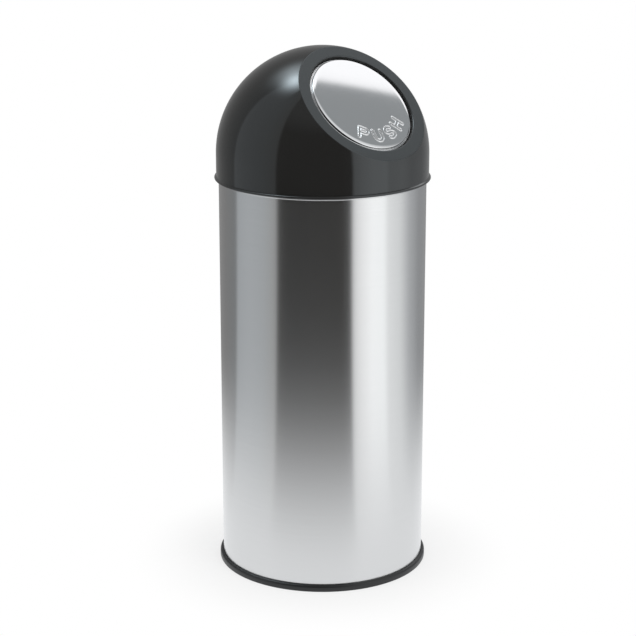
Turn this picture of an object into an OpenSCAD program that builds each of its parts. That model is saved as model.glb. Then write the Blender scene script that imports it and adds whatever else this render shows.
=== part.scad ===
// Dome top waste receptacle: a round sheet-steel bin with a lift-off dome lid,
// a sprung push flap in the dome's slanted face and a lift-out inner liner.
// Millimetres, +Z up, origin at the centre of the base, push flap towards -Y.
// "Depth" is always measured inwards from the dome's slanted face.

/* [Outer body] */
// Outer diameter of the steel body
body_d = 300; // [270:1:340]
// Sheet thickness of the body and its floor
body_wall = 1; // [0.8:0.1:1.3]
// Height of the top of the rolled rim above the ground
body_top = 581.5; // [500:0.5:680]
// Diameter of the rolled rim's bead
rim_bead_d = 3.6; // [3.2:0.1:4]
// How far that bead stands out past the body
rim_bead_out = 1.6; // [1:0.1:2]
// Height of the upturned edge of the floor pressing
floor_edge_h = 12; // [8:1:20]

/* [Base ring] */
// Height of the base ring
base_h = 9.8; // [9:0.1:14]
// How far the base ring stands out from the body
base_lip = 5; // [4.5:0.5:8]
// Radius of the base ring's upper outer edge
base_round = 4; // [2:0.5:4.4]
// Thickness of the base ring under the body's lower edge
base_web = 3.5; // [3:0.1:4.5]
// Height of the ledge that carries the floor pressing
ledge_h = 8; // [7:0.1:9]
// Width of that ledge
ledge_w = 13; // [12:0.5:18]

/* [Screws and nuts] */
// Thread diameter of all screws and studs
screw_d = 4; // [3:0.5:4]
// Head diameter of the base screws
screw_head_d = 8; // [7:0.5:9]
// Head height of the base screws
screw_head_h = 2.4; // [2:0.1:2.6]
// How deep those heads are sunk into the base ring's underside
screw_sink = 0.6; // [0.4:0.1:1]
// Gap round those heads
screw_head_gap = 0.5; // [0.3:0.1:0.8]
// Width of the crossed slots in those heads
slot_w = 1; // [0.6:0.1:1.4]
// Depth of the crossed slots
slot_depth = 1.2; // [0.8:0.1:1.4]
// How far the crossed slots stay inside the edge of the head
slot_edge = 1.6; // [1:0.1:2]
// How far screws and studs stand past their nuts
screw_end = 0.8; // [0.5:0.1:1.2]
// Width across the corners of the nuts
nut_d = 8; // [7:0.1:8.4]
// Height of the nuts
nut_h = 3.2; // [2.6:0.1:3.6]
// Number of screws in the base ring
screw_count = 4; // [3:1:8]

/* [Dome lid] */
// Sheet thickness of the dome
lid_wall = 1.2; // [0.8:0.1:1.4]
// Gap all round between the body's rim and the dome's skirt
lid_gap = 0.7; // [0.5:0.1:1.2]
// Height of the straight skirt under the dome
skirt_h = 36; // [30:1:60]
// Diameter of the rolled hem round the skirt's lower edge
hem_d = 3; // [2.6:0.1:3.4]
// How far the hem hangs below the top of the body's rim
lid_overlap = 1; // [0.5:0.1:2]
// Gap all round between the body's rim and the collar inside it
collar_gap = 0.5; // [0.4:0.1:1]
// Sheet thickness of the locating collar
collar_wall = 1.2; // [0.8:0.1:1.4]
// How far the collar reaches down into the body
collar_drop = 18; // [10:1:22]
// How far the collar reaches up inside the skirt
collar_rise = 16; // [8:1:24]

/* [Slanted face and opening] */
// Angle of the slanted face's normal above the horizontal
facet_tilt = 45; // [42:1:50]
// How deep the slanted face is cut into the dome
face_cut = 37.5; // [33:0.5:42]
// Width of the flat border between the dome's curve and the opening
face_border = 18; // [17.5:0.5:20]
// Depth of the lip that is turned in round the opening
lip_depth = 5; // [4:0.1:5.5]
// Thickness of the rubber trim on that lip
trim_wall = 0.8; // [0.5:0.1:1]
// How far the trim grips up the lip
trim_grip = 2.4; // [1.5:0.1:2.8]

/* [Push flap] */
// Gap all round between the opening's edge and the raised plateau
plateau_gap = 4.5; // [3.5:0.5:9]
// Height of the plateau above its flange
plateau_rise = 5.3; // [3:0.1:5.8]
// Radius of the plateau's edge
plateau_round = 1.8; // [1:0.1:2]
// How far the flange reaches past the opening's edge
flange_reach = 4; // [3:0.1:4.4]
// Sheet thickness of the flap and its backing plate
flap_wall = 1; // [0.8:0.1:1.2]
// How much smaller the backing plate's radius is than the opening's
backing_inset = 2.5; // [0.5:0.5:4]

/* [Flap hinge] */
// Diameter of the hinge axle
axle_d = 5; // [4:0.5:5]
// Distance of the axle's line above the flange's upper edge
axle_above = 1.5; // [1:0.1:2.5]
// Depth of the axle's line behind the flange's front
axle_behind = 7.4; // [7:0.1:8]
// Sheet thickness of the brackets and ears
plate_t = 2; // [1.5:0.1:2]
// Gap between each flap ear and the spring beside it
ear_gap = 2.4; // [0.5:0.1:6]
// Distance of each bracket from the middle
bracket_x = 44; // [43:0.5:45]
// Radius of the eyes round the axle
eye_r = 5; // [4.2:0.1:5.4]
// Length of each flap ear's foot on the backing plate
ear_foot_l = 22; // [12:1:30]
// Gap between the brackets' webs and the flap's flange
web_gap = 1.2; // [0.8:0.1:1.6]
// Width of each bracket's foot along the axle
foot_w = 9; // [8.6:0.1:9.2]
// Length of each bracket's foot up the slope
foot_l = 10; // [9:0.1:10.4]
// Gap between the brackets' feet and the opening's trim
foot_gap = 0.6; // [0.3:0.1:0.8]
// Distance of each stud past the middle of its foot
stud_shift = 0.4; // [0:0.1:0.5]
// Diameter of the clips on the axle's ends
clip_d = 9; // [8:0.5:10]
// Thickness of those clips
clip_t = 0.8; // [0.6:0.1:1]
// How far the axle stands past its clips
axle_end = 0.8; // [0.5:0.1:1.5]

/* [Flap springs] */
// Wire diameter of the torsion springs
spring_wire_d = 1.2; // [0.8:0.1:1.4]
// Whole turns of each spring
spring_turns = 5; // [3:1:5]
// Gap between neighbouring turns
spring_turn_gap = 0.35; // [0.1:0.05:0.5]
// Length of the leg that presses on the flap
spring_leg = 26; // [15:1:40]

/* [Inner liner] */
// Depth of the liner's rim below the top of the body
liner_drop = 38; // [34:1:120]
// Gap between the body's wall and the top of the liner's wall
liner_gap = 15; // [14:0.5:20]
// How much the liner's radius shrinks down to its foot
liner_taper = 7; // [2:0.5:15]
// Sheet thickness of the liner
liner_wall = 0.9; // [0.6:0.1:1.2]
// Diameter of the liner's rolled rim
liner_bead_d = 4.8; // [4:0.1:5.4]
// Height of the liner's floor above its foot
liner_foot_h = 6; // [4:0.5:12]

/* [Liner handle] */
// Wire diameter of the bail handle
wire_d = 5; // [4:0.1:5.4]
// Gap between the handle and the body's wall
wire_gap = 4; // [3.4:0.1:4.4]
// Depth of the handle's pivots below the liner's rim
pivot_drop = 20; // [16:1:40]
// Diameter of the hooked ends of the wire
pin_d = 4.2; // [3:0.1:4.4]
// Diameter of the plastic grip
grip_d = 8.4; // [7.4:0.1:8.8]
// Angle that the grip covers, in degrees
grip_arc = 44; // [20:1:80]
// Gap between the wire and the bosses on the lugs
boss_gap = 0.5; // [0.3:0.1:1]
// Gap between the hooked ends and the liner's wall
pin_end_gap = 0.6; // [0.3:0.1:1]
// Width of each lug
lug_w = 34; // [30:1:50]
// Height of each lug
lug_h = 30; // [28:1:44]
// How far each lug reaches above the pivots
lug_above = 10; // [8:0.5:12]
// Sheet thickness of the lugs
lug_wall = 1.6; // [1:0.1:2]
// Diameter of the boss round each pivot
boss_d = 12; // [9:0.5:14]
// Shank diameter of the rivets
rivet_d = 3.2; // [2.4:0.1:4]
// Head diameter of the rivets
rivet_head_d = 6.4; // [5:0.1:7]
// Head height of the rivets
rivet_head_h = 1.4; // [1:0.1:1.8]
// Diameter of the flat top of the rivets' heads
rivet_top_d = 4.5; // [3:0.1:4.8]
// Distance between a rivet's head and the side of its lug
rivet_edge = 2.2; // [1:0.1:4]
// Distance of the rivets below the pivots
rivet_drop = 10; // [9:0.5:14]

/* [Fits] */
// Gap between pieces that rest on each other
rest_gap = 0.3; // [0.2:0.05:0.4]
// Radial gap of pins, axles and screws in their holes
pin_gap = 0.05; // [0.02:0.01:0.1]
// Gap between sheets that are fixed together
sheet_gap = 0.1; // [0.05:0.01:0.15]

/* [Hidden] */

$fn = 96;
// Number of steps in a rounded corner of a profile
round_steps = 6;
// A little more than nothing, so that cuts pass right through
cut = 1;
// How far out in their round eyes the arms of ears and brackets end
eye_share = 0.9;

// Outer body and base
body_r = body_d / 2;
body_in_r = body_r - body_wall;
bead_r = rim_bead_d / 2;
bead_z = body_top - bead_r;
bead_mid_r = body_r - bead_r + rim_bead_out;
rim_out_r = bead_mid_r + bead_r;
rim_in_r = bead_mid_r - bead_r;
base_r = body_r + base_lip;
ledge_r = body_in_r - sheet_gap;
ledge_in_r = ledge_r - ledge_w;
floor_r = body_in_r - sheet_gap;
floor_top = ledge_h + body_wall;
screw_ring_r = ledge_r - ledge_w / 2;
screw_seat = screw_head_h + screw_sink;
screw_hole_r = screw_d / 2 + pin_gap;

// Dome lid
dome_in_r = rim_out_r + lid_gap;
dome_r = dome_in_r + lid_wall;
lid_edge = body_top - lid_overlap;
dome_z = lid_edge + skirt_h;
collar_r = rim_in_r - collar_gap;
collar_seat = body_top + rest_gap;
face_d = dome_r - face_cut;
face_r = sqrt(pow(dome_r, 2) - pow(face_d, 2));
opening_r = face_r - face_border;

// Depths behind the slanted face
trim_end = lip_depth + trim_wall;
flange_depth = trim_end + rest_gap;
plateau_depth = flange_depth - plateau_rise;
backing_depth = flange_depth + flap_wall;
backing_back = backing_depth + flap_wall;
axle_depth = flange_depth + axle_behind;

// Push flap and hinge
plateau_r = opening_r - plateau_gap;
backing_r = opening_r - backing_inset;
flange_r = opening_r + flange_reach;
axle_up = flange_r + axle_above;
axle_r = axle_d / 2;
axle_hole_r = axle_r + pin_gap;
clip_x = bracket_x + plate_t / 2 + rest_gap;
axle_half = clip_x + clip_t + axle_end;
foot_x = bracket_x + plate_t / 2;
foot_up = sqrt(pow(opening_r + lid_wall + trim_wall + foot_gap, 2) - pow(foot_x, 2));
web_up = sqrt(pow(flange_r, 2) - pow(bracket_x - plate_t / 2, 2)) + web_gap;
stud_x = foot_x + foot_w / 2 + stud_shift;
stud_up = foot_up + foot_l / 2;
stud_end = lid_wall + plate_t + nut_h + screw_end;

// Springs
spring_r = axle_depth - backing_back - spring_wire_d / 2 - rest_gap;
spring_pitch = spring_wire_d + spring_turn_gap;
spring_start = foot_x - plate_t - spring_wire_d;
spring_depth = axle_depth - spring_r;
spring_end_x = spring_start - spring_turns * spring_pitch;
ear_x = spring_end_x - spring_wire_d / 2 - ear_gap - plate_t / 2;
spring_tip = sqrt(
  pow(dome_in_r - spring_wire_d, 2) - pow(face_d - spring_depth, 2) - pow(spring_start, 2)
) - axle_up;

// Liner and handle
liner_top = body_top - liner_drop;
liner_foot = floor_top + rest_gap;
liner_r = body_in_r - liner_gap;
liner_bead_r = liner_bead_d / 2;
liner_bead_z = liner_top - liner_bead_r;
liner_slope = liner_taper / (liner_bead_z - liner_foot);
pivot_z = liner_top - pivot_drop;
wire_r = wire_d / 2;
bail_r = body_in_r - wire_gap - wire_r;
pin_r = pin_d / 2;
boss_end = bail_r - wire_r - boss_gap;
rivet_y = lug_w / 2 - rivet_head_d / 2 - rivet_edge;
rivet_z = pivot_z - rivet_drop;
rivet_hole_l = 4 * (liner_wall + lug_wall);

// Outer radius of the liner's wall at height z
function liner_out(z) = liner_r - liner_slope * (liner_bead_z - z);

// Point just inside the round of an eye, at angle a from the slope towards the depth
function in_eye(a) = [axle_up, axle_depth] + eye_share * eye_r * [cos(a), sin(a)];

// Points of a quarter round of radius r about c, starting at angle a
function quarter(c, r, a) = [
  for (i = [0 : round_steps]) c + r * [cos(a + 90 * i / round_steps), sin(a + 90 * i / round_steps)]
];

// Places its children on the dome's slanted face: +Z out of it, +Y up the slope
module on_facet() {
  translate([0, 0, dome_z])
    rotate([90 - facet_tilt, 0, 0])
      translate([0, 0, face_d])
        children();
}

// Turns a profile of distance up the slope and depth into a plate across X
module across(x, t) {
  on_facet()
    translate([x - t / 2, 0, 0])
      rotate([90, 0, 90])
        linear_extrude(height = t)
          mirror([0, 1])
            children();
}

module ring(r_out, r_in, z0, z1) {
  difference() {
    translate([0, 0, z0]) cylinder(r = r_out, h = z1 - z0);
    translate([0, 0, z0 - cut]) cylinder(r = r_in, h = z1 - z0 + 2 * cut);
  }
}

module nut() {
  difference() {
    cylinder(d = nut_d, h = nut_h, $fn = 6);
    translate([0, 0, -cut]) cylinder(r = screw_hole_r, h = nut_h + 2 * cut);
  }
}

module at_base_screws() {
  for (i = [0 : screw_count - 1])
    rotate([0, 0, 360 * (i + 0.5) / screw_count])
      translate([screw_ring_r, 0, 0])
        children();
}

// ---------- outer body ----------

module outer_body() {
  color("silver")
    rotate_extrude() {
      translate([body_in_r, base_web]) square([body_wall, bead_z - base_web]);
      translate([bead_mid_r, bead_z]) circle(r = bead_r);
    }
}

module body_floor() {
  color("darkgray")
    difference() {
      union() {
        translate([0, 0, ledge_h]) cylinder(r = floor_r, h = body_wall);
        ring(floor_r, floor_r - body_wall, ledge_h, ledge_h + floor_edge_h);
      }
      at_base_screws()
        translate([0, 0, ledge_h - cut])
          cylinder(r = screw_hole_r, h = body_wall + 2 * cut);
    }
}

module base_ring() {
  round_at = [base_r - base_round, base_h - base_round];
  color([0.13, 0.13, 0.13])
    difference() {
      rotate_extrude()
        polygon(concat(
          [[ledge_in_r, 0], [base_r, 0]],
          quarter(round_at, base_round, 0),
          [
            [body_r + sheet_gap, base_h], [body_r + sheet_gap, base_web],
            [ledge_r, base_web], [ledge_r, ledge_h], [ledge_in_r, ledge_h]
          ]
        ));
      at_base_screws() {
        translate([0, 0, -cut]) cylinder(r = screw_hole_r, h = ledge_h + 2 * cut);
        translate([0, 0, -cut]) cylinder(d = screw_head_d + 2 * screw_head_gap, h = screw_seat + cut);
      }
    }
}

module base_screws() {
  shank = floor_top + nut_h + screw_end;
  color("dimgray")
    at_base_screws()
      difference() {
        union() {
          translate([0, 0, screw_sink]) cylinder(d = screw_head_d, h = screw_head_h);
          translate([0, 0, screw_seat - cut]) cylinder(d = screw_d, h = shank - screw_seat + cut);
        }
        for (a = [0, 90])
          rotate([0, 0, a])
            cube([screw_head_d - 2 * slot_edge, slot_w, 2 * (screw_sink + slot_depth)], center = true);
      }
}

module base_nuts() {
  color("silver")
    at_base_screws()
      translate([0, 0, floor_top])
        nut();
}

// ---------- dome lid ----------

// Solid dome of radius r on a skirt down to z0, cut flat at distance d from its centre
module dome_solid(r, z0, d) {
  difference() {
    rotate_extrude() {
      intersection() {
        translate([0, dome_z]) circle(r = r, $fn = 180);
        translate([0, dome_z]) square([r, r]);
      }
      translate([0, z0]) square([r, dome_z - z0]);
    }
    translate([0, 0, dome_z])
      rotate([90 - facet_tilt, 0, 0])
        translate([0, 0, d])
          cylinder(r = dome_r, h = dome_r);
  }
}

module lid_dome() {
  hem_z = lid_edge + hem_d / 2;
  color([0.1, 0.1, 0.11]) {
    difference() {
      union() {
        dome_solid(dome_r, hem_z, face_d);
        rotate_extrude() translate([dome_r, hem_z]) circle(d = hem_d);
      }
      dome_solid(dome_in_r, lid_edge - cut, face_d - lid_wall);
      on_facet() translate([0, 0, -2 * lid_wall]) cylinder(r = opening_r, h = 3 * lid_wall);
    }
    on_facet() ring(opening_r + lid_wall, opening_r, -lip_depth, -lid_wall / 2);
  }
}

module lid_collar() {
  flange_r_out = dome_in_r - sheet_gap;
  color([0.16, 0.16, 0.16])
    rotate_extrude() {
      translate([collar_r - collar_wall, body_top - collar_drop])
        square([collar_wall, collar_drop + rest_gap + collar_wall]);
      translate([collar_r - collar_wall, collar_seat])
        square([flange_r_out - collar_r + collar_wall, collar_wall]);
      translate([flange_r_out - collar_wall, collar_seat])
        square([collar_wall, collar_rise]);
    }
}

module opening_trim() {
  lip_out_r = opening_r + lid_wall;
  color([0.05, 0.05, 0.05])
    on_facet() {
      ring(lip_out_r + trim_wall, opening_r - trim_wall, -trim_end, -lip_depth);
      ring(opening_r - sheet_gap / 2, opening_r - trim_wall, -trim_end, -lip_depth + trim_grip);
      ring(
        lip_out_r + trim_wall, lip_out_r + sheet_gap / 2, -trim_end, -lip_depth + trim_grip
      );
    }
}

// ---------- push flap ----------

module flap_face() {
  edge = [plateau_r - plateau_round, -plateau_depth - plateau_round];
  under = plateau_r - flap_wall;
  color("gainsboro")
    on_facet()
      rotate_extrude()
        polygon(concat(
          [[0, -plateau_depth - flap_wall], [0, -plateau_depth]],
          [for (i = [round_steps : -1 : 0]) quarter(edge, plateau_round, 0)[i]],
          [
            [plateau_r, -flange_depth], [flange_r, -flange_depth],
            [flange_r, -backing_depth], [under, -backing_depth],
            [under, -plateau_depth - plateau_round],
            [under - plateau_round / 2, -plateau_depth - flap_wall]
          ]
        ));
}

module flap_backing() {
  color([0.3, 0.3, 0.32])
    on_facet()
      translate([0, 0, -backing_back])
        cylinder(r = backing_r, h = flap_wall);
}

// Side view of a flap ear: a foot on the backing plate and an eye round the axle
module ear_profile() {
  foot_top = sqrt(pow(backing_r, 2) - pow(ear_x + plate_t, 2));
  difference() {
    union() {
      translate([axle_up, axle_depth]) circle(r = eye_r);
      polygon([
        [foot_top - ear_foot_l, backing_back], [foot_top, backing_back],
        in_eye(-90), in_eye(115)
      ]);
    }
    translate([axle_up, axle_depth]) circle(r = axle_hole_r);
  }
}

module flap_ears() {
  color([0.35, 0.35, 0.37])
    for (side = [-1, 1])
      across(side * ear_x, plate_t) ear_profile();
}

// ---------- flap hinge ----------

module on_axle(x) {
  on_facet()
    translate([x, axle_up, -axle_depth])
      rotate([0, 90, 0])
        children();
}

module hinge_axle() {
  color("silver")
    on_axle(-axle_half)
      cylinder(d = axle_d, h = 2 * axle_half);
}

module axle_clips() {
  color("gray")
    for (x = [-clip_x - clip_t, clip_x])
      on_axle(x)
        ring(clip_d / 2, axle_hole_r, 0, clip_t);
}

// Side view of a bracket's web: from the slanted face down round the axle
module bracket_profile() {
  difference() {
    union() {
      translate([axle_up, axle_depth]) circle(r = eye_r);
      polygon([
        [web_up, lid_wall], [foot_up + foot_l, lid_wall],
        in_eye(-60), in_eye(135), [web_up, backing_depth]
      ]);
    }
    translate([axle_up, axle_depth]) circle(r = axle_hole_r);
  }
}

module hinge_bracket(side) {
  color([0.25, 0.25, 0.27]) {
    across(side * bracket_x, plate_t) bracket_profile();
    difference() {
      on_facet()
        translate([side * (foot_x + foot_w / 2), foot_up + foot_l / 2, -lid_wall - plate_t / 2])
          cube([foot_w + plate_t, foot_l, plate_t], center = true);
      on_facet()
        translate([side * stud_x, stud_up, -lid_wall - plate_t - cut])
          cylinder(r = screw_hole_r, h = plate_t + 2 * cut);
    }
  }
}

module hinge_bracket_left() {
  hinge_bracket(-1);
}

module hinge_bracket_right() {
  hinge_bracket(1);
}

module bracket_studs() {
  color("gray")
    for (side = [-1, 1])
      on_facet()
        translate([side * stud_x, stud_up, -stud_end])
          cylinder(d = screw_d, h = stud_end - lid_wall);
}

module bracket_nuts() {
  color("silver")
    for (side = [-1, 1])
      on_facet()
        translate([side * stud_x, stud_up, -lid_wall - plate_t - nut_h])
          nut();
}

// ---------- flap springs ----------

// One stop of the spring's wire: [x, angle round the axle, slide along the leg]
spring_steps = 16;
spring_stops = concat(
  [[spring_start, 0, -spring_tip]],
  [
    for (i = [0 : spring_turns * spring_steps])
      [spring_start - spring_pitch * i / spring_steps, 360 * i / spring_steps, 0]
  ],
  [[spring_end_x, 360 * spring_turns, spring_leg]]
);
spring_sides = 8;

// Ring of points round the wire at one stop, about the axle: [x, down the slope, outwards]
function wire_ring(stop) = [
  for (k = [0 : spring_sides - 1])
    let (
      turn = 360 * k / spring_sides,
      r = spring_r + spring_wire_d / 2 * cos(turn)
    )
    [
      stop[0] + spring_wire_d / 2 * sin(turn),
      stop[2] + r * sin(stop[1]),
      r * cos(stop[1])
    ]
];

module spring_wire() {
  rings = len(spring_stops);
  last = (rings - 1) * spring_sides;
  polyhedron(
    points = [for (stop = spring_stops) each wire_ring(stop)],
    faces = concat(
      [[for (k = [0 : spring_sides - 1]) k]],
      [
        for (i = [0 : rings - 2], k = [0 : spring_sides - 1])
          let (a = i * spring_sides, b = (k + 1) % spring_sides)
          [a + k, a + spring_sides + k, a + spring_sides + b, a + b]
      ],
      [[for (k = [spring_sides - 1 : -1 : 0]) last + k]]
    ),
    convexity = 10
  );
}

module flap_spring(side) {
  color("slategray")
    on_facet()
      translate([0, axle_up, -axle_depth])
        mirror([side < 0 ? 1 : 0, 0, 0])
          mirror([0, 1, 0])
            spring_wire();
}

module flap_spring_left() {
  flap_spring(-1);
}

module flap_spring_right() {
  flap_spring(1);
}

// ---------- inner liner ----------

module liner_wall() {
  color("lightgray")
    difference() {
      rotate_extrude() {
        polygon([
          [liner_out(liner_foot) - liner_wall, liner_foot], [liner_out(liner_foot), liner_foot],
          [liner_r, liner_bead_z], [liner_r - liner_wall, liner_bead_z]
        ]);
        translate([liner_r + liner_bead_r / 2, liner_bead_z]) circle(r = liner_bead_r);
      }
      rivet_holes();
    }
}

module liner_floor() {
  plate_z = liner_foot + liner_foot_h;
  r = liner_out(liner_foot) - liner_wall - sheet_gap;
  color("darkgray") {
    translate([0, 0, plate_z - liner_wall]) cylinder(r = r, h = liner_wall);
    ring(r, r - liner_wall, liner_foot, plate_z);
  }
}

// Places its children at each rivet, with +Z outwards from the lug's face
module at_rivets() {
  for (side = [0, 180], y = [-rivet_y, rivet_y])
    rotate([0, 0, side])
      translate([lug_face(), y, rivet_z])
        rotate([0, 90, 0])
          children();
}

module rivet_holes() {
  at_rivets()
    translate([0, 0, -rivet_hole_l])
      cylinder(r = rivet_d / 2 + pin_gap, h = 2 * rivet_hole_l);
}

// Outer radius of a lug at the rivets' height, and its distance from the axis there
function lug_out() = liner_out(rivet_z) + sheet_gap + lug_wall;
function lug_face() = sqrt(pow(lug_out(), 2) - pow(rivet_y - rivet_head_d / 2, 2));

module handle_lug(side) {
  z1 = pivot_z + lug_above;
  z0 = z1 - lug_h;
  near = liner_out(pivot_z) + sheet_gap;
  color("gray")
    rotate([0, 0, side < 0 ? 180 : 0])
      difference() {
        union() {
          intersection() {
            difference() {
              translate([0, 0, z0])
                cylinder(
                  r1 = liner_out(z0) + sheet_gap + lug_wall,
                  r2 = liner_out(z1) + sheet_gap + lug_wall, h = z1 - z0
                );
              translate([0, 0, z0 - cut])
                cylinder(
                  r1 = liner_out(z0 - cut) + sheet_gap,
                  r2 = liner_out(z1 + cut) + sheet_gap, h = z1 - z0 + 2 * cut
                );
            }
            translate([0, -lug_w / 2, z0]) cube([body_r, lug_w, z1 - z0]);
          }
          translate([near + lug_wall / 2, 0, pivot_z])
            rotate([0, 90, 0])
              cylinder(d = boss_d, h = boss_end - near - lug_wall / 2);
        }
        translate([near - cut, 0, pivot_z])
          rotate([0, 90, 0])
            cylinder(r = pin_r + pin_gap, h = boss_end - near + 2 * cut);
        rivet_holes();
      }
}

module handle_lug_left() {
  handle_lug(-1);
}

module handle_lug_right() {
  handle_lug(1);
}

module lug_rivets() {
  inner_face = sqrt(
    pow(liner_out(rivet_z) - liner_wall, 2) - pow(rivet_y + rivet_head_d / 2, 2)
  ) - sheet_gap;
  color("silver")
    at_rivets() {
      translate([0, 0, inner_face - lug_face() - rivet_head_h])
        cylinder(d = rivet_head_d, h = rivet_head_h);
      translate([0, 0, inner_face - lug_face() - rivet_head_h / 2])
        cylinder(d = rivet_d, h = lug_face() - inner_face + rivet_head_h);
      translate([0, 0, sheet_gap])
        cylinder(d1 = rivet_head_d, d2 = rivet_top_d, h = rivet_head_h);
    }
}

// ---------- liner handle ----------

module liner_handle() {
  pin_from = liner_out(pivot_z) + pin_end_gap;
  past = asin(wire_r / bail_r);
  color("dimgray")
    translate([0, 0, pivot_z]) {
      rotate([0, 0, -past])
        rotate_extrude(angle = 180 + 2 * past)
          translate([bail_r, 0])
            circle(r = wire_r);
      for (side = [0, 180])
        rotate([0, 0, side])
          translate([pin_from, 0, 0])
            rotate([0, 90, 0])
              cylinder(r = pin_r, h = bail_r - pin_from);
    }
}

module handle_grip() {
  color([0.1, 0.1, 0.1])
    translate([0, 0, pivot_z])
      rotate([0, 0, 90 - grip_arc / 2])
        rotate_extrude(angle = grip_arc)
          translate([bail_r, 0])
            difference() {
              circle(d = grip_d);
              circle(r = wire_r + pin_gap);
            }
}

outer_body();
body_floor();
base_ring();
base_screws();
base_nuts();
lid_dome();
lid_collar();
opening_trim();
flap_face();
flap_backing();
flap_ears();
hinge_axle();
axle_clips();
hinge_bracket_left();
hinge_bracket_right();
bracket_studs();
bracket_nuts();
flap_spring_left();
flap_spring_right();
liner_wall();
liner_floor();
handle_lug_left();
handle_lug_right();
lug_rivets();
liner_handle();
handle_grip();
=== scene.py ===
"""Dome top waste receptacle: a brushed steel bin with a gloss black dome lid,
a sprung push flap in the dome's slanted face and a galvanised inner liner.
Metres, +Z up, origin at the centre of the base, push flap towards -Y."""

import math
from functools import cache

import bmesh
import bpy
import numpy as np
from bpy.props import FloatProperty, FloatVectorProperty, IntProperty, PointerProperty
from mathutils import Euler, Matrix, Vector


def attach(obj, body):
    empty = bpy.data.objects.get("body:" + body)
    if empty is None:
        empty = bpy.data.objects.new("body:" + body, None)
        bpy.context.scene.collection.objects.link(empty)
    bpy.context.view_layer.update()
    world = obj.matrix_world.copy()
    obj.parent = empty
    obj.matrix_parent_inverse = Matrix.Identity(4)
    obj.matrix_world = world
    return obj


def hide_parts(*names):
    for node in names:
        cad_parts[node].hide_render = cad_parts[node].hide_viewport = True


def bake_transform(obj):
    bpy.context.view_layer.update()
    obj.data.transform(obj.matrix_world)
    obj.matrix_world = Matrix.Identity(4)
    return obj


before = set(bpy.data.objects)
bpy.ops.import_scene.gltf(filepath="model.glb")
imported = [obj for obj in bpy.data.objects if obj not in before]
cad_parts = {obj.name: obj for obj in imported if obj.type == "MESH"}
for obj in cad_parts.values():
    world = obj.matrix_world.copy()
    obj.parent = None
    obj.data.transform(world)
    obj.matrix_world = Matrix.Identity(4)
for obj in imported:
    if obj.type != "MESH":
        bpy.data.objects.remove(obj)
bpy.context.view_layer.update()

bl_info = {
    "name": "Dome Top Bin",
    "version": (1, 0, 0),
    "blender": (4, 5, 0),
    "location": "View3D > Sidebar > Dome Bin",
    "description": "Builds a push-flap bin with a dome lid and an inner liner",
    "category": "Object",
}

MM = 0.001
TAU = 2 * math.pi
DEGREES = 180 / math.pi
CLOSE_FIT = 0.05 * MM  # room left by a close fit
EASY_FIT = 0.1 * MM  # room left by an easy fit
ALONG_X = (0, math.pi / 2, 0)  # turns what stands along Z to lie along X


# ---------- sizes and colours ----------


def length(name, description, default):
    """A size in metres, given in millimetres."""
    return FloatProperty(
        name=name, description=description, default=default * MM, min=0, unit="LENGTH", precision=4
    )


def tint(name, description, default):
    """A linear colour."""
    return FloatVectorProperty(
        name=name, description=description, default=default, size=3, subtype="COLOR", min=0, max=1
    )


class BodySizes(bpy.types.PropertyGroup):
    """Sizes of the steel body, its floor and its base ring"""

    radius: length("Radius", "Outer radius of the steel body", 150)
    wall: length("Wall", "Sheet thickness of the body", 1)
    foot: length("Foot", "Height of the body's lower edge", 3.5)
    rim_radius: length("Rim radius", "Radius of the middle of the rolled rim", 149.8)
    rim_bead: length("Rim bead", "Radius of the rolled rim's bead", 1.8)
    rim_height: length("Rim height", "Height of the middle of the rolled rim", 579.7)
    ring_radius: length("Ring radius", "Outer radius of the base ring", 155)
    ring_inner: length("Ring opening", "Inner radius of the base ring", 135.9)
    ring_height: length("Ring height", "Height of the base ring", 9.8)
    ring_round: length("Ring round", "Radius of the base ring's upper edge", 4)
    ledge: length("Ledge", "Height of the ledge under the floor", 8)
    floor_radius: length("Floor radius", "Radius of the floor pressing", 148.9)
    floor_edge: length("Floor edge", "Height of the floor's turned-up edge", 20)
    floor_step: length("Floor step", "How deep the middle of the floor is pressed", 1.6)


class FastenerSizes(bpy.types.PropertyGroup):
    """Sizes of the screws and nuts"""

    count: IntProperty(name="Count", description="Number of screws in the base", default=4, min=3)
    ring: length("Ring", "Radius of the ring of screws in the base", 142.4)
    thread: length("Thread", "Thread diameter", 4)
    head: length("Head", "Head diameter", 8)
    head_height: length("Head height", "Height of a screw's head", 2.4)
    sink: length("Sink", "How far the heads sit above the ground", 0.6)
    screw_end: length("Screw end", "Height of a base screw's end", 13)
    nut: length("Nut", "Width across the corners of a nut", 8)
    nut_height: length("Nut height", "Height of a nut", 3.2)
    nut_seat: length("Nut seat", "Height of the base nuts' seat", 9)


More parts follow.
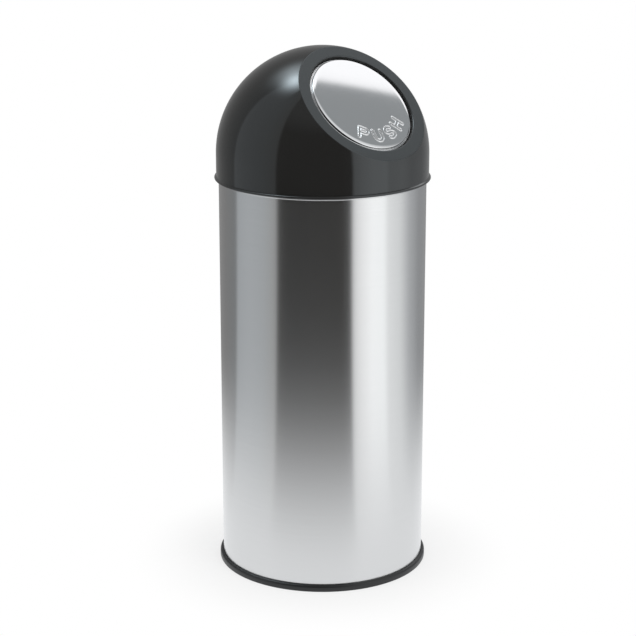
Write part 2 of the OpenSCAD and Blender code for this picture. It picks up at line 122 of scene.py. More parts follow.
class DomeSizes(bpy.types.PropertyGroup):
    """Sizes of the dome lid"""

    radius: length("Radius", "Outer radius of the dome", 153.5)
    wall: length("Wall", "Sheet thickness of the dome", 1.2)
    centre: length("Centre", "Height of the dome's centre", 616.5)
    edge: length("Edge", "Height of the lid's lower edge", 580.5)
    hem: length("Hem", "Radius of the hem round the lower edge", 1.9)
    hem_out: length("Hem out", "How far the hem's middle lies outside the dome", 0.8)
    face: length("Face", "Distance of the slanted face from the dome's centre", 116)
    ridge: length("Ridge", "Radius of the ridge round the slanted face", 2.4)
    opening: length("Opening", "Radius of the opening", 82.53)
    lip: length("Lip", "Depth of the lip round the opening", 5)
    lip_round: length("Lip round", "Radius of the bend into the lip", 1.7)
    trim: length("Trim", "Thickness of the rubber trim", 0.8)
    trim_grip: length("Trim grip", "How far the trim grips up the lip", 2.4)
    tilt: FloatProperty(
        name="Tilt", description="Angle of the slanted face's normal above the horizontal",
        default=math.radians(45), subtype="ANGLE",
    )
    collar: length("Collar", "Outer radius of the locating collar", 147.5)
    collar_foot: length("Collar foot", "Height of the collar's lower edge", 563.5)
    collar_seat: length("Collar seat", "Height of the collar's seat on the rim", 581.8)
    collar_top: length("Collar top", "Height of the collar's upper edge", 597.8)


class FlapSizes(bpy.types.PropertyGroup):
    """Sizes of the push flap, in the slanted face's own frame"""

    plateau: length("Plateau", "Radius of the raised plateau", 78.03)
    depth: length("Depth", "Depth of the plateau behind the slanted face", 0.8)
    crown: length("Crown", "How much the plateau's middle stands proud of its edge", 1.6)
    edge: length("Edge", "Rounding of the plateau's edge", 1.8)
    shoulder: length("Shoulder", "Width of the plateau's soft shoulder", 4.2)
    flange: length("Flange", "Outer radius of the flange", 86.53)
    flange_depth: length("Flange depth", "Depth of the flange", 6.1)
    wall: length("Wall", "Sheet thickness", 1)
    bead: length("Bead", "Radius of the pressed bead round the plateau", 80.2)
    bead_rise: length("Bead rise", "Height of that bead", 1.1)
    backing: length("Backing", "Radius of the backing plate", 80.03)
    word_ring: length("Word ring", "Distance of the embossed word from the middle", 57)
    word_height: length("Word height", "Height of a letter's stroke line", 16.5)
    word_width: length("Word width", "Width of a letter's stroke line", 13)
    word_offset: length("Outline", "Distance of a letter's outline from its stroke line", 2.2)
    word_ridge: length("Outline width", "Half width of the raised outline", 0.8)
    word_rise: length("Outline rise", "Height of the raised outline", 0.75)
    word_step: FloatProperty(
        name="Letter step", description="Angle between letters",
        default=math.radians(24.5), subtype="ANGLE",
    )
    word_middle: FloatProperty(
        name="Word middle", description="Angle of the word's middle round the flap",
        default=math.radians(275), subtype="ANGLE",
    )


class HingeSizes(bpy.types.PropertyGroup):
    """Sizes of the flap hinge, in the slanted face's own frame"""

    axle_up: length("Axle up", "Distance of the axle up the slope", 88.03)
    axle_depth: length("Axle depth", "Depth of the axle", 13.5)
    axle: length("Axle", "Radius of the axle", 2.5)
    axle_half: length("Axle half", "Half length of the axle", 46.9)
    eye: length("Eye", "Radius of the eyes round the axle", 5)
    plate: length("Plate", "Thickness of ears and brackets", 2)
    ear: length("Ear", "Distance of an ear from the middle", 30.05)
    ear_foot: length("Ear foot", "Length of an ear's foot", 22)
    ear_top: length("Ear top", "Distance of the ear's foot up the slope", 73.3)
    bracket: length("Bracket", "Distance of a bracket from the middle", 44)
    web: length("Web", "Distance of the bracket's web up the slope", 76.3)
    foot_up: length("Foot up", "Distance of the bracket's foot up the slope", 72.3)
    foot: length("Foot", "Length of the bracket's foot", 10)
    foot_width: length("Foot width", "Width of the bracket's foot", 9)
    stud_x: length("Stud across", "Distance of a stud from the middle", 49.9)
    stud_end: length("Stud end", "Depth of a stud's end", 7.2)
    clip: length("Clip", "Diameter of the clips on the axle", 9)
    clip_thickness: length("Clip thickness", "Thickness of those clips", 0.8)
    wire: length("Spring wire", "Diameter of the springs' wire", 1.2)
    coil: length("Coil", "Radius of the middle of the springs' coil", 4.5)
    coil_start: length("Coil start", "Distance of a coil's outer end from the middle", 41.8)
    coil_pitch: length("Coil pitch", "Distance between turns", 1.55)
    coil_tip: length("Spring tip", "Length of the leg against the dome", 10.1)
    coil_leg: length("Spring leg", "Length of the leg on the flap", 26)
    turns: IntProperty(name="Turns", description="Whole turns of a spring", default=5, min=2)


class LinerSizes(bpy.types.PropertyGroup):
    """Sizes of the inner liner and its handle"""

    radius: length("Radius", "Outer radius of the liner below its rim", 134)
    foot_radius: length("Foot radius", "Outer radius of the liner at its foot", 127)
    wall: length("Wall", "Sheet thickness of the liner", 0.9)
    bead: length("Rim bead", "Radius of the rolled rim", 2.4)
    rim: length("Rim height", "Height of the middle of the rolled rim", 541.1)
    foot: length("Foot", "Height of the liner's foot", 9.3)
    base: length("Base", "Height of the liner's floor", 15.3)
    rib: length("Rib", "How far the pressed ribs stand out", 1.3)
    pivot: length("Pivot", "Height of the handle's pivots", 523.5)
    bail: length("Bail", "Radius of the handle's bend", 142.5)
    wire: length("Wire", "Radius of the handle's wire", 2.5)
    pin: length("Pin", "Radius of the wire's ends", 2.1)
    grip: length("Grip", "Radius of the grip", 4.2)
    grip_arc: FloatProperty(
        name="Grip arc", description="Angle that the grip covers",
        default=math.radians(44), subtype="ANGLE",
    )
    lug_width: length("Lug width", "Width of a lug", 34)
    lug_height: length("Lug height", "Height of a lug", 30)
    lug_above: length("Lug above", "How far a lug reaches above the pivots", 10)
    lug_wall: length("Lug wall", "Sheet thickness of a lug", 1.6)
    boss: length("Boss", "Radius of the boss round a pivot", 6)
    boss_end: length("Boss end", "Distance of the boss's end from the axis", 139.5)
    rivet: length("Rivet", "Head radius of a rivet", 3.2)
    rivet_height: length("Rivet height", "Head height of a rivet", 1.4)
    rivet_apart: length("Rivets apart", "Distance between a lug's two rivets", 23.2)
    rivet_drop: length("Rivet drop", "Distance of the rivets below the pivots", 10)


class Colours(bpy.types.PropertyGroup):
    """Colours of the finishes"""

    steel: tint("Body steel", "Brushed steel of the body", (0.735, 0.735, 0.735))
    flap: tint("Flap steel", "Satin steel of the flap", (0.774, 0.774, 0.779))
    enamel: tint("Enamel", "Gloss enamel of the dome", (0.0165, 0.016, 0.0152))
    border: tint("Border", "Satin border of the slanted face", (0.027, 0.03, 0.031))
    plastic: tint("Plastic", "Black plastic of the base ring", (0.0122, 0.0126, 0.0134))
    rubber: tint("Rubber", "Black rubber trim", (0.0112, 0.0112, 0.0112))
    grey: tint("Grey enamel", "Grey enamel of the hinge's plates", (0.124, 0.126, 0.135))
    zinc: tint("Zinc", "Zinc plated fasteners", (0.62, 0.63, 0.64))
    wire: tint("Spring steel", "Drawn spring wire", (0.42, 0.43, 0.455))
    galvanised: tint("Galvanised", "Galvanised steel of the liner", (0.585, 0.605, 0.627))
    floor: tint("Floor", "Studio floor", (0.86, 0.86, 0.86))


class StudioSizes(bpy.types.PropertyGroup):
    """Camera and light"""

    azimuth: FloatProperty(
        name="Azimuth", description="Camera angle round the bin, 0 in front of the flap",
        default=math.radians(-42.5), subtype="ANGLE",
    )
    elevation: FloatProperty(
        name="Elevation", description="Camera angle above the horizontal",
        default=math.radians(15.8), subtype="ANGLE",
    )
    distance: FloatProperty(
        name="Distance", description="Distance of the camera from its aim", default=2.8,
        unit="LENGTH",
    )
    lens: FloatProperty(name="Lens", description="Focal length", default=107.5, unit="CAMERA")
    aim: length("Aim", "Height of the point that the camera looks at", 369)
    aside: FloatProperty(
        name="Aside", description="How far the aim lies to the picture's right of the bin's axis",
        default=-0.0066, unit="LENGTH",
    )
    floor_white: FloatProperty(
        name="White floor", description="Radius of the lit floor that shiny surfaces see",
        default=1.15, unit="LENGTH",
    )
    ambient: FloatProperty(name="Ambient", description="Strength of the even light", default=0.72)
    key: FloatProperty(
        name="Key", description="Power of the main soft light", default=26, unit="POWER"
    )
    fill: FloatProperty(
        name="Fill", description="Power of the side light", default=9, unit="POWER"
    )


class BinSettings(bpy.types.PropertyGroup):
    """Every size and colour of the bin"""

    body: PointerProperty(type=BodySizes)
    fasteners: PointerProperty(type=FastenerSizes)
    dome: PointerProperty(type=DomeSizes)
    flap: PointerProperty(type=FlapSizes)
    hinge: PointerProperty(type=HingeSizes)
    liner: PointerProperty(type=LinerSizes)
    colours: PointerProperty(type=Colours)
    studio: PointerProperty(type=StudioSizes)


# ---------- node trees ----------


class Value:
    """One output of a node. Python's signs on it add Math nodes to its tree."""

    def __init__(self, nodes, socket):
        self.nodes = nodes
        self.socket = socket

    def math(self, operation, *others):
        return self.nodes.math(operation, self, *others)

    def __add__(self, other):
        return self.math("ADD", other)

    def __sub__(self, other):
        return self.math("SUBTRACT", other)

    def __mul__(self, other):
        return self.math("MULTIPLY", other)

    def __truediv__(self, other):
        return self.math("DIVIDE", other)

    def __rsub__(self, other):
        return self.nodes.math("SUBTRACT", other, self)

    def __rtruediv__(self, other):
        return self.nodes.math("DIVIDE", other, self)

    def __gt__(self, other):
        return self.math("GREATER_THAN", other)

    def __lt__(self, other):
        return self.math("LESS_THAN", other)

    def __neg__(self):
        return self * -1

    __radd__ = __add__
    __rmul__ = __mul__


class Nodes:
    """Adds nodes to one tree."""

    def __init__(self, tree):
        self.tree = tree

    def add(self, kind, settings=None, sockets=None, out=0):
        """A node with its settings, then the values or links of its sockets; gives one output."""
        node = self.tree.nodes.new(kind)
        for name, setting in (settings or {}).items():
            if name == "stops":
                set_stops(node.color_ramp, setting)
            else:
                setattr(node, name, setting)
        for key, value in (sockets or {}).items():
            if isinstance(value, Value):
                self.tree.links.new(value.socket, node.inputs[key])
            else:
                node.inputs[key].default_value = value
        return Value(self, node.outputs[out]) if len(node.outputs) else node

    def other(self, value, out):
        """Another output of the node that a value comes from."""
        return Value(self, value.socket.node.outputs[out])

    def math(self, operation, *values):
        return self.add("ShaderNodeMath", {"operation": operation}, dict(enumerate(values)))

    def smooth(self, value, low, high, to_low=0, to_high=1):
        """Goes softly from to_low to to_high as value goes from low to high."""
        return self.add(
            "ShaderNodeMapRange", {"interpolation_type": "SMOOTHSTEP"},
            {0: value, 1: low, 2: high, 3: to_low, 4: to_high},
        )

    def mix(self, factor, first, second, blend="MIX"):
        """Mixes two colours."""
        return self.add(
            "ShaderNodeMix", {"data_type": "RGBA", "blend_type": blend},
            {0: factor, 6: opaque(first), 7: opaque(second)}, out=2,
        )

    def shaded(self, colour, share):
        """A share of a colour, where 0 is black and 1 the whole colour."""
        return self.mix(share, (0, 0, 0), colour)

    def ramp(self, value, stops):
        return self.add("ShaderNodeValToRGB", {"stops": stops}, {0: value})

    def place(self):
        """Object coordinates."""
        return self.add("ShaderNodeTexCoord", out="Object")

    def noise(self, scale, detail=3, rough=0.5, stretch=(1, 1, 1)):
        """Noise on the object's coordinates, which may be scaled along each axis."""
        stretched = self.add(
            "ShaderNodeMapping", {"vector_type": "POINT"},
            {"Vector": self.place(), "Scale": stretch},
        )
        return self.add(
            "ShaderNodeTexNoise", {"noise_dimensions": "3D"},
            {"Vector": stretched, "Scale": scale, "Detail": detail, "Roughness": rough},
        )

    def bump(self, height, strength, distance):
        return self.add(
            "ShaderNodeBump", {},
            {"Strength": strength, "Distance": distance, "Height": height},
        )

    def parts(self, vector):
        """The x, y and z of a vector."""
        x = self.add("ShaderNodeSeparateXYZ", {}, {0: vector})
        return x, self.other(x, 1), self.other(x, 2)

    def vector(self, x, y, z):
        return self.add("ShaderNodeCombineXYZ", {}, {0: x, 1: y, 2: z})


def opaque(colour):
    """A colour with alpha, where it is given as three numbers."""
    return colour if isinstance(colour, Value) else (*colour, 1)


def set_stops(ramp, stops):
    """Gives a colour ramp its stops (position, colour)."""
    while len(ramp.elements) < len(stops):
        ramp.elements.new(1)
    for element, (position, colour) in zip(ramp.elements, stops):
        element.position = position
        element.color = opaque(colour)


def empty_tree(owner):
    """The cleared node tree of a material or a world."""
    owner.use_nodes = True
    owner.node_tree.nodes.clear()
    return Nodes(owner.node_tree)


def shader(name, make):
    """A material whose Principled shader gets the sockets that make gives."""
    material = bpy.data.materials.new(name)
    nodes = empty_tree(material)
    surface = nodes.add("ShaderNodeBsdfPrincipled", {}, make(nodes))
    nodes.add("ShaderNodeOutputMaterial", {}, {"Surface": surface})
    return material


# ---------- finishes ----------


def brushed_body(colour):
    """Steel sheet brushed round the body: fine level lines, soft patches, a weld at the back."""

    def make(n):
        lines = n.noise(1, 3, 0.6, (1.5, 1.5, 1900))
        streaks = n.noise(1, 2, 0.5, (0.8, 0.8, 320))
        patches = n.noise(3.2, 2, 0.5)
        across, back = n.parts(n.place())[:2]
        weld = n.smooth(across.math("ABSOLUTE"), 1.3 * MM, 0.3 * MM) * (back > 0)
        return {
            "Base Color": n.shaded(colour, 0.9 + lines * 0.06 + streaks * 0.04 - weld * 0.12),
            "Metallic": 1,
            "Roughness": 0.175 + lines * 0.04 + patches * 0.02 + weld * 0.14,
            "Anisotropic": 0.78,
            "Anisotropic Rotation": 0.25,
            "Normal": n.bump(lines * 0.2 - weld, 0.25, 0.00008),
        }

    return shader("brushed_body", make)


def gloss_enamel(colour, border):
    """Sprayed and baked enamel with a faint orange peel, satin on the slanted face's border."""
    dome = bpy.context.scene.dome_bin.dome

    def make(n):
        peel = n.noise(230, 2, 0.4)
        drift = n.noise(9, 2, 0.5)
        y, z = n.parts(n.place())[1:]
        out = (z - dome.centre) * math.sin(dome.tilt) - y * math.cos(dome.tilt)
        satin = n.smooth(out, dome.face - 0.5 * MM, dome.face - 0.1 * MM)
        return {
            "Base Color": n.mix(satin, n.shaded(colour, 0.8 + drift * 0.2), border),
            "Roughness": 0.055 + drift * 0.03 + satin * 0.25,
            "Specular Tint": (0.86, 0.95, 1, 1),
            "Coat Weight": 0.35 - satin * 0.35,
            "Coat Roughness": 0.04,
            "Normal": n.bump(peel, 0.1, 0.00012),
        }

    return shader("black_enamel", make)


def satin_plastic(colour):
    """Moulded plastic with a fine eroded grain."""

    def make(n):
        skin = n.noise(1500, 3, 0.6)
        drift = n.noise(14, 2, 0.5)
        return {
            "Base Color": n.shaded(colour, 0.7 + drift * 0.3),
            "Roughness": 0.34 + drift * 0.08 + skin * 0.06,
            "Normal": n.bump(skin, 0.22, 0.0001),
        }

    return shader("black_plastic", make)


def soft_rubber(colour):
    """Extruded rubber with a dull skin."""

    def make(n):
        skin = n.noise(900, 3, 0.6)
        return {
            "Base Color": n.shaded(colour, 0.6 + skin * 0.4),
            "Roughness": 0.5 + skin * 0.14,
            "Normal": n.bump(skin, 0.3, 0.0001),
        }

    return shader("black_rubber", make)


def satin_flap(colour):
    """Stainless sheet with a fine satin grain across the flap, duller on the raised word."""

    def make(n):
        grain = n.noise(1, 3, 0.6, (30, 1600, 1600))
        drift = n.noise(11, 2, 0.5)
        word = n.add("ShaderNodeAttribute", {"attribute_name": "word"}, out="Fac")
        return {
            "Base Color": n.shaded(colour, 0.89 + grain * 0.06 + word * 0.05),
            "Metallic": 1,
            "Roughness": 0.052 + grain * 0.015 + drift * 0.015 + word * 0.4,
            "Normal": n.bump(grain, 0.03, 0.00002),
        }

    return shader("satin_flap", make)


def grey_enamel(colour):
    """Powder coat on the hinge's plates."""

    def make(n):
        powder = n.noise(1300, 3, 0.6)
        drift = n.noise(25, 2, 0.5)
        return {
            "Base Color": n.shaded(colour, 0.7 + drift * 0.3),
            "Roughness": 0.4 + powder * 0.12,
            "Normal": n.bump(powder, 0.25, 0.0001),
        }

    return shader("grey_enamel", make)


def zinc_plate(colour):
    """Bright zinc with faint bluish patches."""

    def make(n):
        drift = n.noise(120, 3, 0.55)
        fine = n.noise(1700, 2, 0.5)
        bluish = n.mix(drift, colour, (0.53, 0.6, 0.7))
        return {
            "Base Color": n.mix(0.35, colour, bluish),
            "Metallic": 1,
            "Roughness": 0.24 + fine * 0.12 + drift * 0.06,
            "Normal": n.bump(fine, 0.08, 0.00005),
        }

    return shader("zinc_plated_steel", make)


def drawn_wire(colour):
    """Spring wire with fine drawing marks."""

    def make(n):
        marks = n.noise(1, 3, 0.6, (400, 2400, 2400))
        return {
            "Base Color": n.shaded(colour, 0.65 + marks * 0.35),
            "Metallic": 1,
            "Roughness": 0.26 + marks * 0.14,
            "Normal": n.bump(marks, 0.1, 0.00005),
        }

    return shader("spring_steel", make)


def galvanised_sheet(colour):
    """Hot-dip galvanised sheet: crystals of zinc, each with its own sheen."""

    def make(n):
        wander = n.add("ShaderNodeTexNoise", {}, {
            "Vector": n.place(), "Scale": 170, "Detail": 2,
        }, out="Color")
        feathered = n.add(
            "ShaderNodeVectorMath", {"operation": "MULTIPLY_ADD"},
            {0: wander, 1: (0.006, 0.006, 0.006), 2: n.place()},
        )

        def crystals(scale):
            """Two numbers that each crystal has for itself."""
            return n.parts(n.add("ShaderNodeTexVoronoi", {"feature": "F1"}, {
                "Vector": feathered, "Scale": scale, "Randomness": 1,
            }, out="Color"))[:2]

        bloom, sheen = crystals(120)
        small, glint = crystals(330)
        frost = n.noise(1100, 2, 0.6)
        return {
            "Base Color": n.shaded(colour, 0.74 + bloom * 0.12 + small * 0.08 + frost * 0.06),
            "Metallic": 1,
            "Roughness": 0.31 + sheen * 0.11 + glint * 0.06 + frost * 0.06,
            "Normal": n.bump(bloom * 0.5 + small * 0.3 + frost * 0.4, 0.1, 0.0001),
        }

    return shader("galvanised_steel", make)


@cache
def finish(name):
    """The finish of one material slot, made when it is first asked for."""
    colours = bpy.context.scene.dome_bin.colours
    make, *tints = {
        "brushed_body": (brushed_body, colours.steel),
        "black_enamel": (gloss_enamel, colours.enamel, colours.border),
        "black_plastic": (satin_plastic, colours.plastic),
        "black_rubber": (soft_rubber, colours.rubber),
        "satin_flap": (satin_flap, colours.flap),
        "grey_enamel": (grey_enamel, colours.grey),
        "zinc_plated_steel": (zinc_plate, colours.zinc),
        "spring_steel": (drawn_wire, colours.wire),
        "galvanised_steel": (galvanised_sheet, colours.galvanised),
    }[name]
    return make(*tints)


# ---------- outlines ----------


def arc(centre, radius, start, end, steps):
    """Points of an arc, with its angles in degrees."""
    angles = [math.radians(start + (end - start) * i / steps) for i in range(steps + 1)]
    return [(centre[0] + radius * math.cos(a), centre[1] + radius * math.sin(a)) for a in angles]


def circle(radius, count, centre=(0, 0)):
    """Points of a whole circle."""
    return arc(centre, radius, 0, 360, count)[:-1]


def rounded(corners, steps=5, closed=True):
    """Rounds the corners (x, y, radius) of an outline."""
    points = []
    count = len(corners)
    for i, (x, y, radius) in enumerate(corners):
        inner = closed or 0 < i < count - 1
        if not inner or radius <= 0:
            points.append((x, y))
            continue
        here = Vector((x, y))
        before = (Vector(corners[i - 1][:2]) - here).normalized()
        after = (Vector(corners[(i + 1) % count][:2]) - here).normalized()
        half = before.angle(after) / 2
        reach = radius / math.tan(half)
        middle = here + (before + after).normalized() * (radius / math.sin(half))
        first, last = here + before * reach - middle, here + after * reach - middle
        turn = first.angle_signed(last)
        for step in range(steps + 1):
            angle = -turn * step / steps
            cos, sin = math.cos(angle), math.sin(angle)
            points.append((
                middle.x + first.x * cos - first.y * sin,
                middle.y + first.x * sin + first.y * cos,
            ))
    return points


def strip(path, thickness):
    """Closed outline of a sheet that follows a path and lies on its left side."""
    path = [Vector(p) for p in path]
    other = []
    for i, here in enumerate(path):
        before = (here - path[i - 1]).normalized() if i else None
        after = (path[i + 1] - here).normalized() if i < len(path) - 1 else None
        along = ((before or after) + (after or before)).normalized()
        across = Vector((-along.y, along.x))
        side = before or after
        spread = max(0.5, across.dot(Vector((-side.y, side.x))))
        other.append(here + across * (thickness / spread))
    return [tuple(p) for p in path + other[::-1]]


def hull(points):
    """Convex outline round a set of points."""
    points = sorted(set(points))

    def half(ordered):
        kept = []
        for p in ordered:
            while len(kept) > 1 and (
                (kept[-1][0] - kept[-2][0]) * (p[1] - kept[-2][1])
                - (kept[-1][1] - kept[-2][1]) * (p[0] - kept[-2][0])
            ) <= 0:
                kept.pop()
            kept.append(p)
        return kept[:-1]

    return half(points) + half(points[::-1])


# ---------- making meshes ----------


def in_scene(name, data):
    """An object for a mesh, a lamp or a camera, linked to the scene."""
    made = bpy.data.objects.new(name, data)
    bpy.context.scene.collection.objects.link(made)
    return made


def new_object(name, vertices, faces=(), edges=()):
    """A mesh object from its points."""
    mesh = bpy.data.meshes.new(name)
    mesh.from_pydata([tuple(v) for v in vertices], list(edges), list(faces))
    return in_scene(name, mesh)


def edited_object(name, edited):
    """A mesh object from what was built in an edit mesh, which ends here."""
    mesh = bpy.data.meshes.new(name)
    edited.to_mesh(mesh)
    edited.free()
    return in_scene(name, mesh)


def band(first, second, count):
    """Faces between two closed rows of points, each given by its first point."""
    after = [(i + 1) % count for i in range(count)]
    return [(first + i, first + j, second + j, second + i) for i, j in enumerate(after)]


def prism(name, outline, low, high):
    """A solid with one outline from a low level to a high one."""
    count = len(outline)
    vertices = [(x, y, z) for z in (low, high) for x, y in outline]
    ends = [tuple(range(count))[::-1], tuple(range(count, 2 * count))]
    return new_object(name, vertices, ends + band(0, count, count))


def box(name, x, y, z):
    """A block between two values along each axis."""
    return prism(name, [(x[0], y[0]), (x[1], y[0]), (x[1], y[1]), (x[0], y[1])], *z)


def settle(piece):
    """Turns a piece with live modifiers into a plain mesh."""
    bpy.context.view_layer.update()
    seen = piece.evaluated_get(bpy.context.evaluated_depsgraph_get())
    mesh = bpy.data.meshes.new_from_object(seen)
    piece.modifiers.clear()
    old = piece.data
    piece.data = mesh
    bpy.data.meshes.remove(old)
    mesh.name = piece.name
    return piece


def discard(*things):
    """Removes objects that were only needed to make others."""
    for thing in things:
        bpy.data.objects.remove(thing)


def joined(name, *things):
    """One object from several, each with its place in its mesh."""
    whole = bmesh.new()
    for thing in things:
        whole.from_mesh(thing.data)
    discard(*things)
    return edited_object(name, whole)


def carved(piece, *cutters):
    """Cuts closed shapes out of a piece."""
    tidy(piece)
    for cutter in cutters:
        tidy(cutter)
        modifier = piece.modifiers.new("Cut", "BOOLEAN")
        modifier.operation = "DIFFERENCE"
        modifier.solver = "EXACT"
        modifier.object = cutter
    settle(piece)
    discard(*cutters)
    return piece


def softened(piece, width, segments=2, angle=40):
    """Rounds a piece's sharp edges."""
    tidy(piece)
    modifier = piece.modifiers.new("Round", "BEVEL")
    modifier.width = width
    modifier.segments = segments
    modifier.limit_method = "ANGLE"
    modifier.angle_limit = math.radians(angle)
    return settle(piece)


def tidy(piece):
    """Merges doubles and turns every face outwards."""
    mesh = bmesh.new()
    mesh.from_mesh(piece.data)
    bmesh.ops.remove_doubles(mesh, verts=mesh.verts, dist=1e-6)
    bmesh.ops.dissolve_degenerate(mesh, edges=mesh.edges, dist=1e-7)
    bmesh.ops.recalc_face_normals(mesh, faces=mesh.faces)
    mesh.to_mesh(piece.data)
    mesh.free()
    return piece


def dress(piece, slot, node, crease=32):
    """Smooths a piece, gives it its finish and hides the CAD part of the node that it stands for.
    """
    tidy(piece)
    mesh = piece.data
    mesh.materials.clear()
    mesh.materials.append(finish(slot))
    mesh.polygons.foreach_set("material_index", [0] * len(mesh.polygons))
    mesh.shade_smooth()
    mesh.set_sharp_from_angle(angle=math.radians(crease))
    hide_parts(node)


def hand_over(piece, body, slot, node, crease=32):
    """Dresses a piece and lets it ride on its body."""
    dress(piece, slot, node, crease)
    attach(piece, body)


def moved(piece, matrix):
    """Moves a piece within its mesh."""
    piece.data.transform(matrix)
    return piece


def face_frame(dome):
    """Place and turn of the slanted face: +Z out of it, +Y up the slope."""
    out = Vector((0, -math.cos(dome.tilt), math.sin(dome.tilt)))
    place = Vector((0, 0, dome.centre)) + out * dome.face
    turn = Euler((math.pi / 2 - dome.tilt, 0, 0))
    return place, turn


def face_matrix(dome):
    """The same place and turn as one matrix."""
    place, turn = face_frame(dome)
    return Matrix.Translation(place) @ turn.to_matrix().to_4x4()


# ---------- geometry trees ----------


def new_tree(name, inputs):
    """A geometry tree with named inputs {name: (socket type, default)} and one for its finish."""
    tree = bpy.data.node_groups.new(name, "GeometryNodeTree")
    tree.is_modifier = True
    side = tree.interface
    side.new_socket("Geometry", in_out="OUTPUT", socket_type="NodeSocketGeometry")
    side.new_socket("Geometry", in_out="INPUT", socket_type="NodeSocketGeometry")
    for label, (kind, default) in inputs.items():
        socket = side.new_socket(label, in_out="INPUT", socket_type="NodeSocket" + kind)
        socket.default_value = default
    side.new_socket("Finish", in_out="INPUT", socket_type="NodeSocketMaterial")
    nodes = Nodes(tree)
    start = nodes.add("NodeGroupInput")
    return tree, nodes, {s.name: Value(nodes, s) for s in start.socket.node.outputs if s.name}


def close_tree(nodes, geometry, material):
    """Ends a tree in Realize Instances and Set Material."""
    plain = nodes.add("GeometryNodeRealizeInstances", {}, {"Geometry": geometry})
    done = nodes.add("GeometryNodeSetMaterial", {}, {"Geometry": plain, "Material": material})
    nodes.add("NodeGroupOutput", {}, {0: done})


def run_tree(piece, tree, **values):
    """Runs a tree on an object's mesh and keeps the result as a plain mesh."""
    modifier = piece.modifiers.new("Shape", "NODES")
    modifier.node_group = tree
    for item in tree.interface.items_tree:
        if item.in_out == "INPUT" and item.name in values:
            modifier[item.identifier] = values[item.name]
    return settle(piece)


@cache
def turning_tree():
    """Turns an outline (x = radius, z = height) round the Z axis, then moves and turns it."""
    tree, n, start = new_tree("Turned outline", {
        "Steps": ("Int", 96), "Place": ("Vector", (0, 0, 0)), "Turn": ("Vector", (0, 0, 0)),
    })
    count = n.add(
        "GeometryNodeAttributeDomainSize", {"component": "MESH"}, {"Geometry": start["Geometry"]}
    )
    grid = n.add("GeometryNodeMeshGrid", {}, {
        "Size X": 1.0, "Size Y": 1.0, "Vertices X": start["Steps"] + 1, "Vertices Y": count,
    })
    index = n.add("GeometryNodeInputIndex")
    column = ((index + 0.5) / count).math("FLOOR")
    row = index - column * count
    outline = n.add(
        "GeometryNodeSampleIndex", {"data_type": "FLOAT_VECTOR", "domain": "POINT"},
        {
            "Geometry": start["Geometry"], "Value": n.add("GeometryNodeInputPosition"),
            "Index": row,
        },
    )
    radius, _, height = n.parts(outline)
    angle = column / start["Steps"] * TAU
    place = n.vector(radius * angle.math("COSINE"), radius * angle.math("SINE"), height)
    turned = n.add("GeometryNodeSetPosition", {}, {"Geometry": grid, "Position": place})
    merged = n.add(
        "GeometryNodeMergeByDistance", {}, {"Geometry": turned, "Distance": 0.000001}
    )
    moved_there = n.add("GeometryNodeTransform", {}, {
        "Geometry": merged, "Translation": start["Place"], "Rotation": start["Turn"],
    })
    close_tree(n, moved_there, start["Finish"])
    return tree


def turned(name, outline, slot, steps, place=(0, 0, 0), turn=(0, 0, 0)):
    """A piece turned from a closed outline of (radius, height) points."""
    piece = new_object(name, [(r, 0, z) for r, z in [*outline, outline[0]]])
    return run_tree(
        piece, turning_tree(),
        Steps=steps, Place=tuple(place), Turn=tuple(turn), Finish=finish(slot),
    )


@cache
def copies_tree():
    """Sets copies in a row, and rows round the Z axis, then moves and turns them all."""
    tree, n, start = new_tree("Set of copies", {
        "Rows": ("Int", 1), "Per row": ("Int", 1), "First": ("Vector", (0, 0, 0)),
        "Step": ("Vector", (0, 0, 0)), "Each turn": ("Vector", (0, 0, 0)),
        "First angle": ("Float", 0.0), "Place": ("Vector", (0, 0, 0)),
        "Turn": ("Vector", (0, 0, 0)),
    })
    index = n.add("GeometryNodeInputIndex")
    offset = index - (start["Per row"] - 1) / 2
    step = n.add(
        "ShaderNodeVectorMath", {"operation": "SCALE"}, {0: start["Step"], "Scale": offset}
    )
    spot = n.add("ShaderNodeVectorMath", {"operation": "ADD"}, {0: start["First"], 1: step})
    points = n.add("GeometryNodePoints", {}, {"Count": start["Per row"], "Position": spot})
    row = n.add("GeometryNodeInstanceOnPoints", {}, {
        "Points": points, "Instance": start["Geometry"], "Rotation": start["Each turn"],
    })
    whole_row = n.add("GeometryNodeRealizeInstances", {}, {"Geometry": row})
    angle = start["First angle"] + index / start["Rows"] * TAU
    middles = n.add("GeometryNodePoints", {}, {"Count": start["Rows"]})
    ring = n.add("GeometryNodeInstanceOnPoints", {}, {
        "Points": middles, "Instance": whole_row, "Rotation": n.vector(0, 0, angle),
    })
    moved_there = n.add("GeometryNodeTransform", {}, {
        "Geometry": n.add("GeometryNodeRealizeInstances", {}, {"Geometry": ring}),
        "Translation": start["Place"], "Rotation": start["Turn"],
    })
    close_tree(n, moved_there, start["Finish"])
    return tree


def copies(name, piece, slot, **values):
    """A set of copies of a piece under a name of its own; the values are the tree's inputs."""
    copied = run_tree(tidy(piece), copies_tree(), Finish=finish(slot), **values)
    copied.name = name
    return copied


def round_wire(n, edges, radius, sides):
    """Nodes that run a round wire with closed ends along a mesh's edges."""
    path = n.add("GeometryNodeMeshToCurve", {}, {"Mesh": edges})
    ring = n.add(
        "GeometryNodeCurvePrimitiveCircle", {"mode": "RADIUS"},
        {"Resolution": sides, "Radius": radius},
    )
    return n.add(
        "GeometryNodeCurveToMesh", {}, {"Curve": path, "Profile Curve": ring, "Fill Caps": True}
    )


@cache
def wire_tree():
    """Runs a round wire along the edges of a mesh."""
    tree, n, start = new_tree("Wire along a path", {
        "Radius": ("Float", 0.001), "Sides": ("Int", 20),
    })
    wire = round_wire(n, start["Geometry"], start["Radius"], start["Sides"])
    close_tree(n, wire, start["Finish"])
    return tree


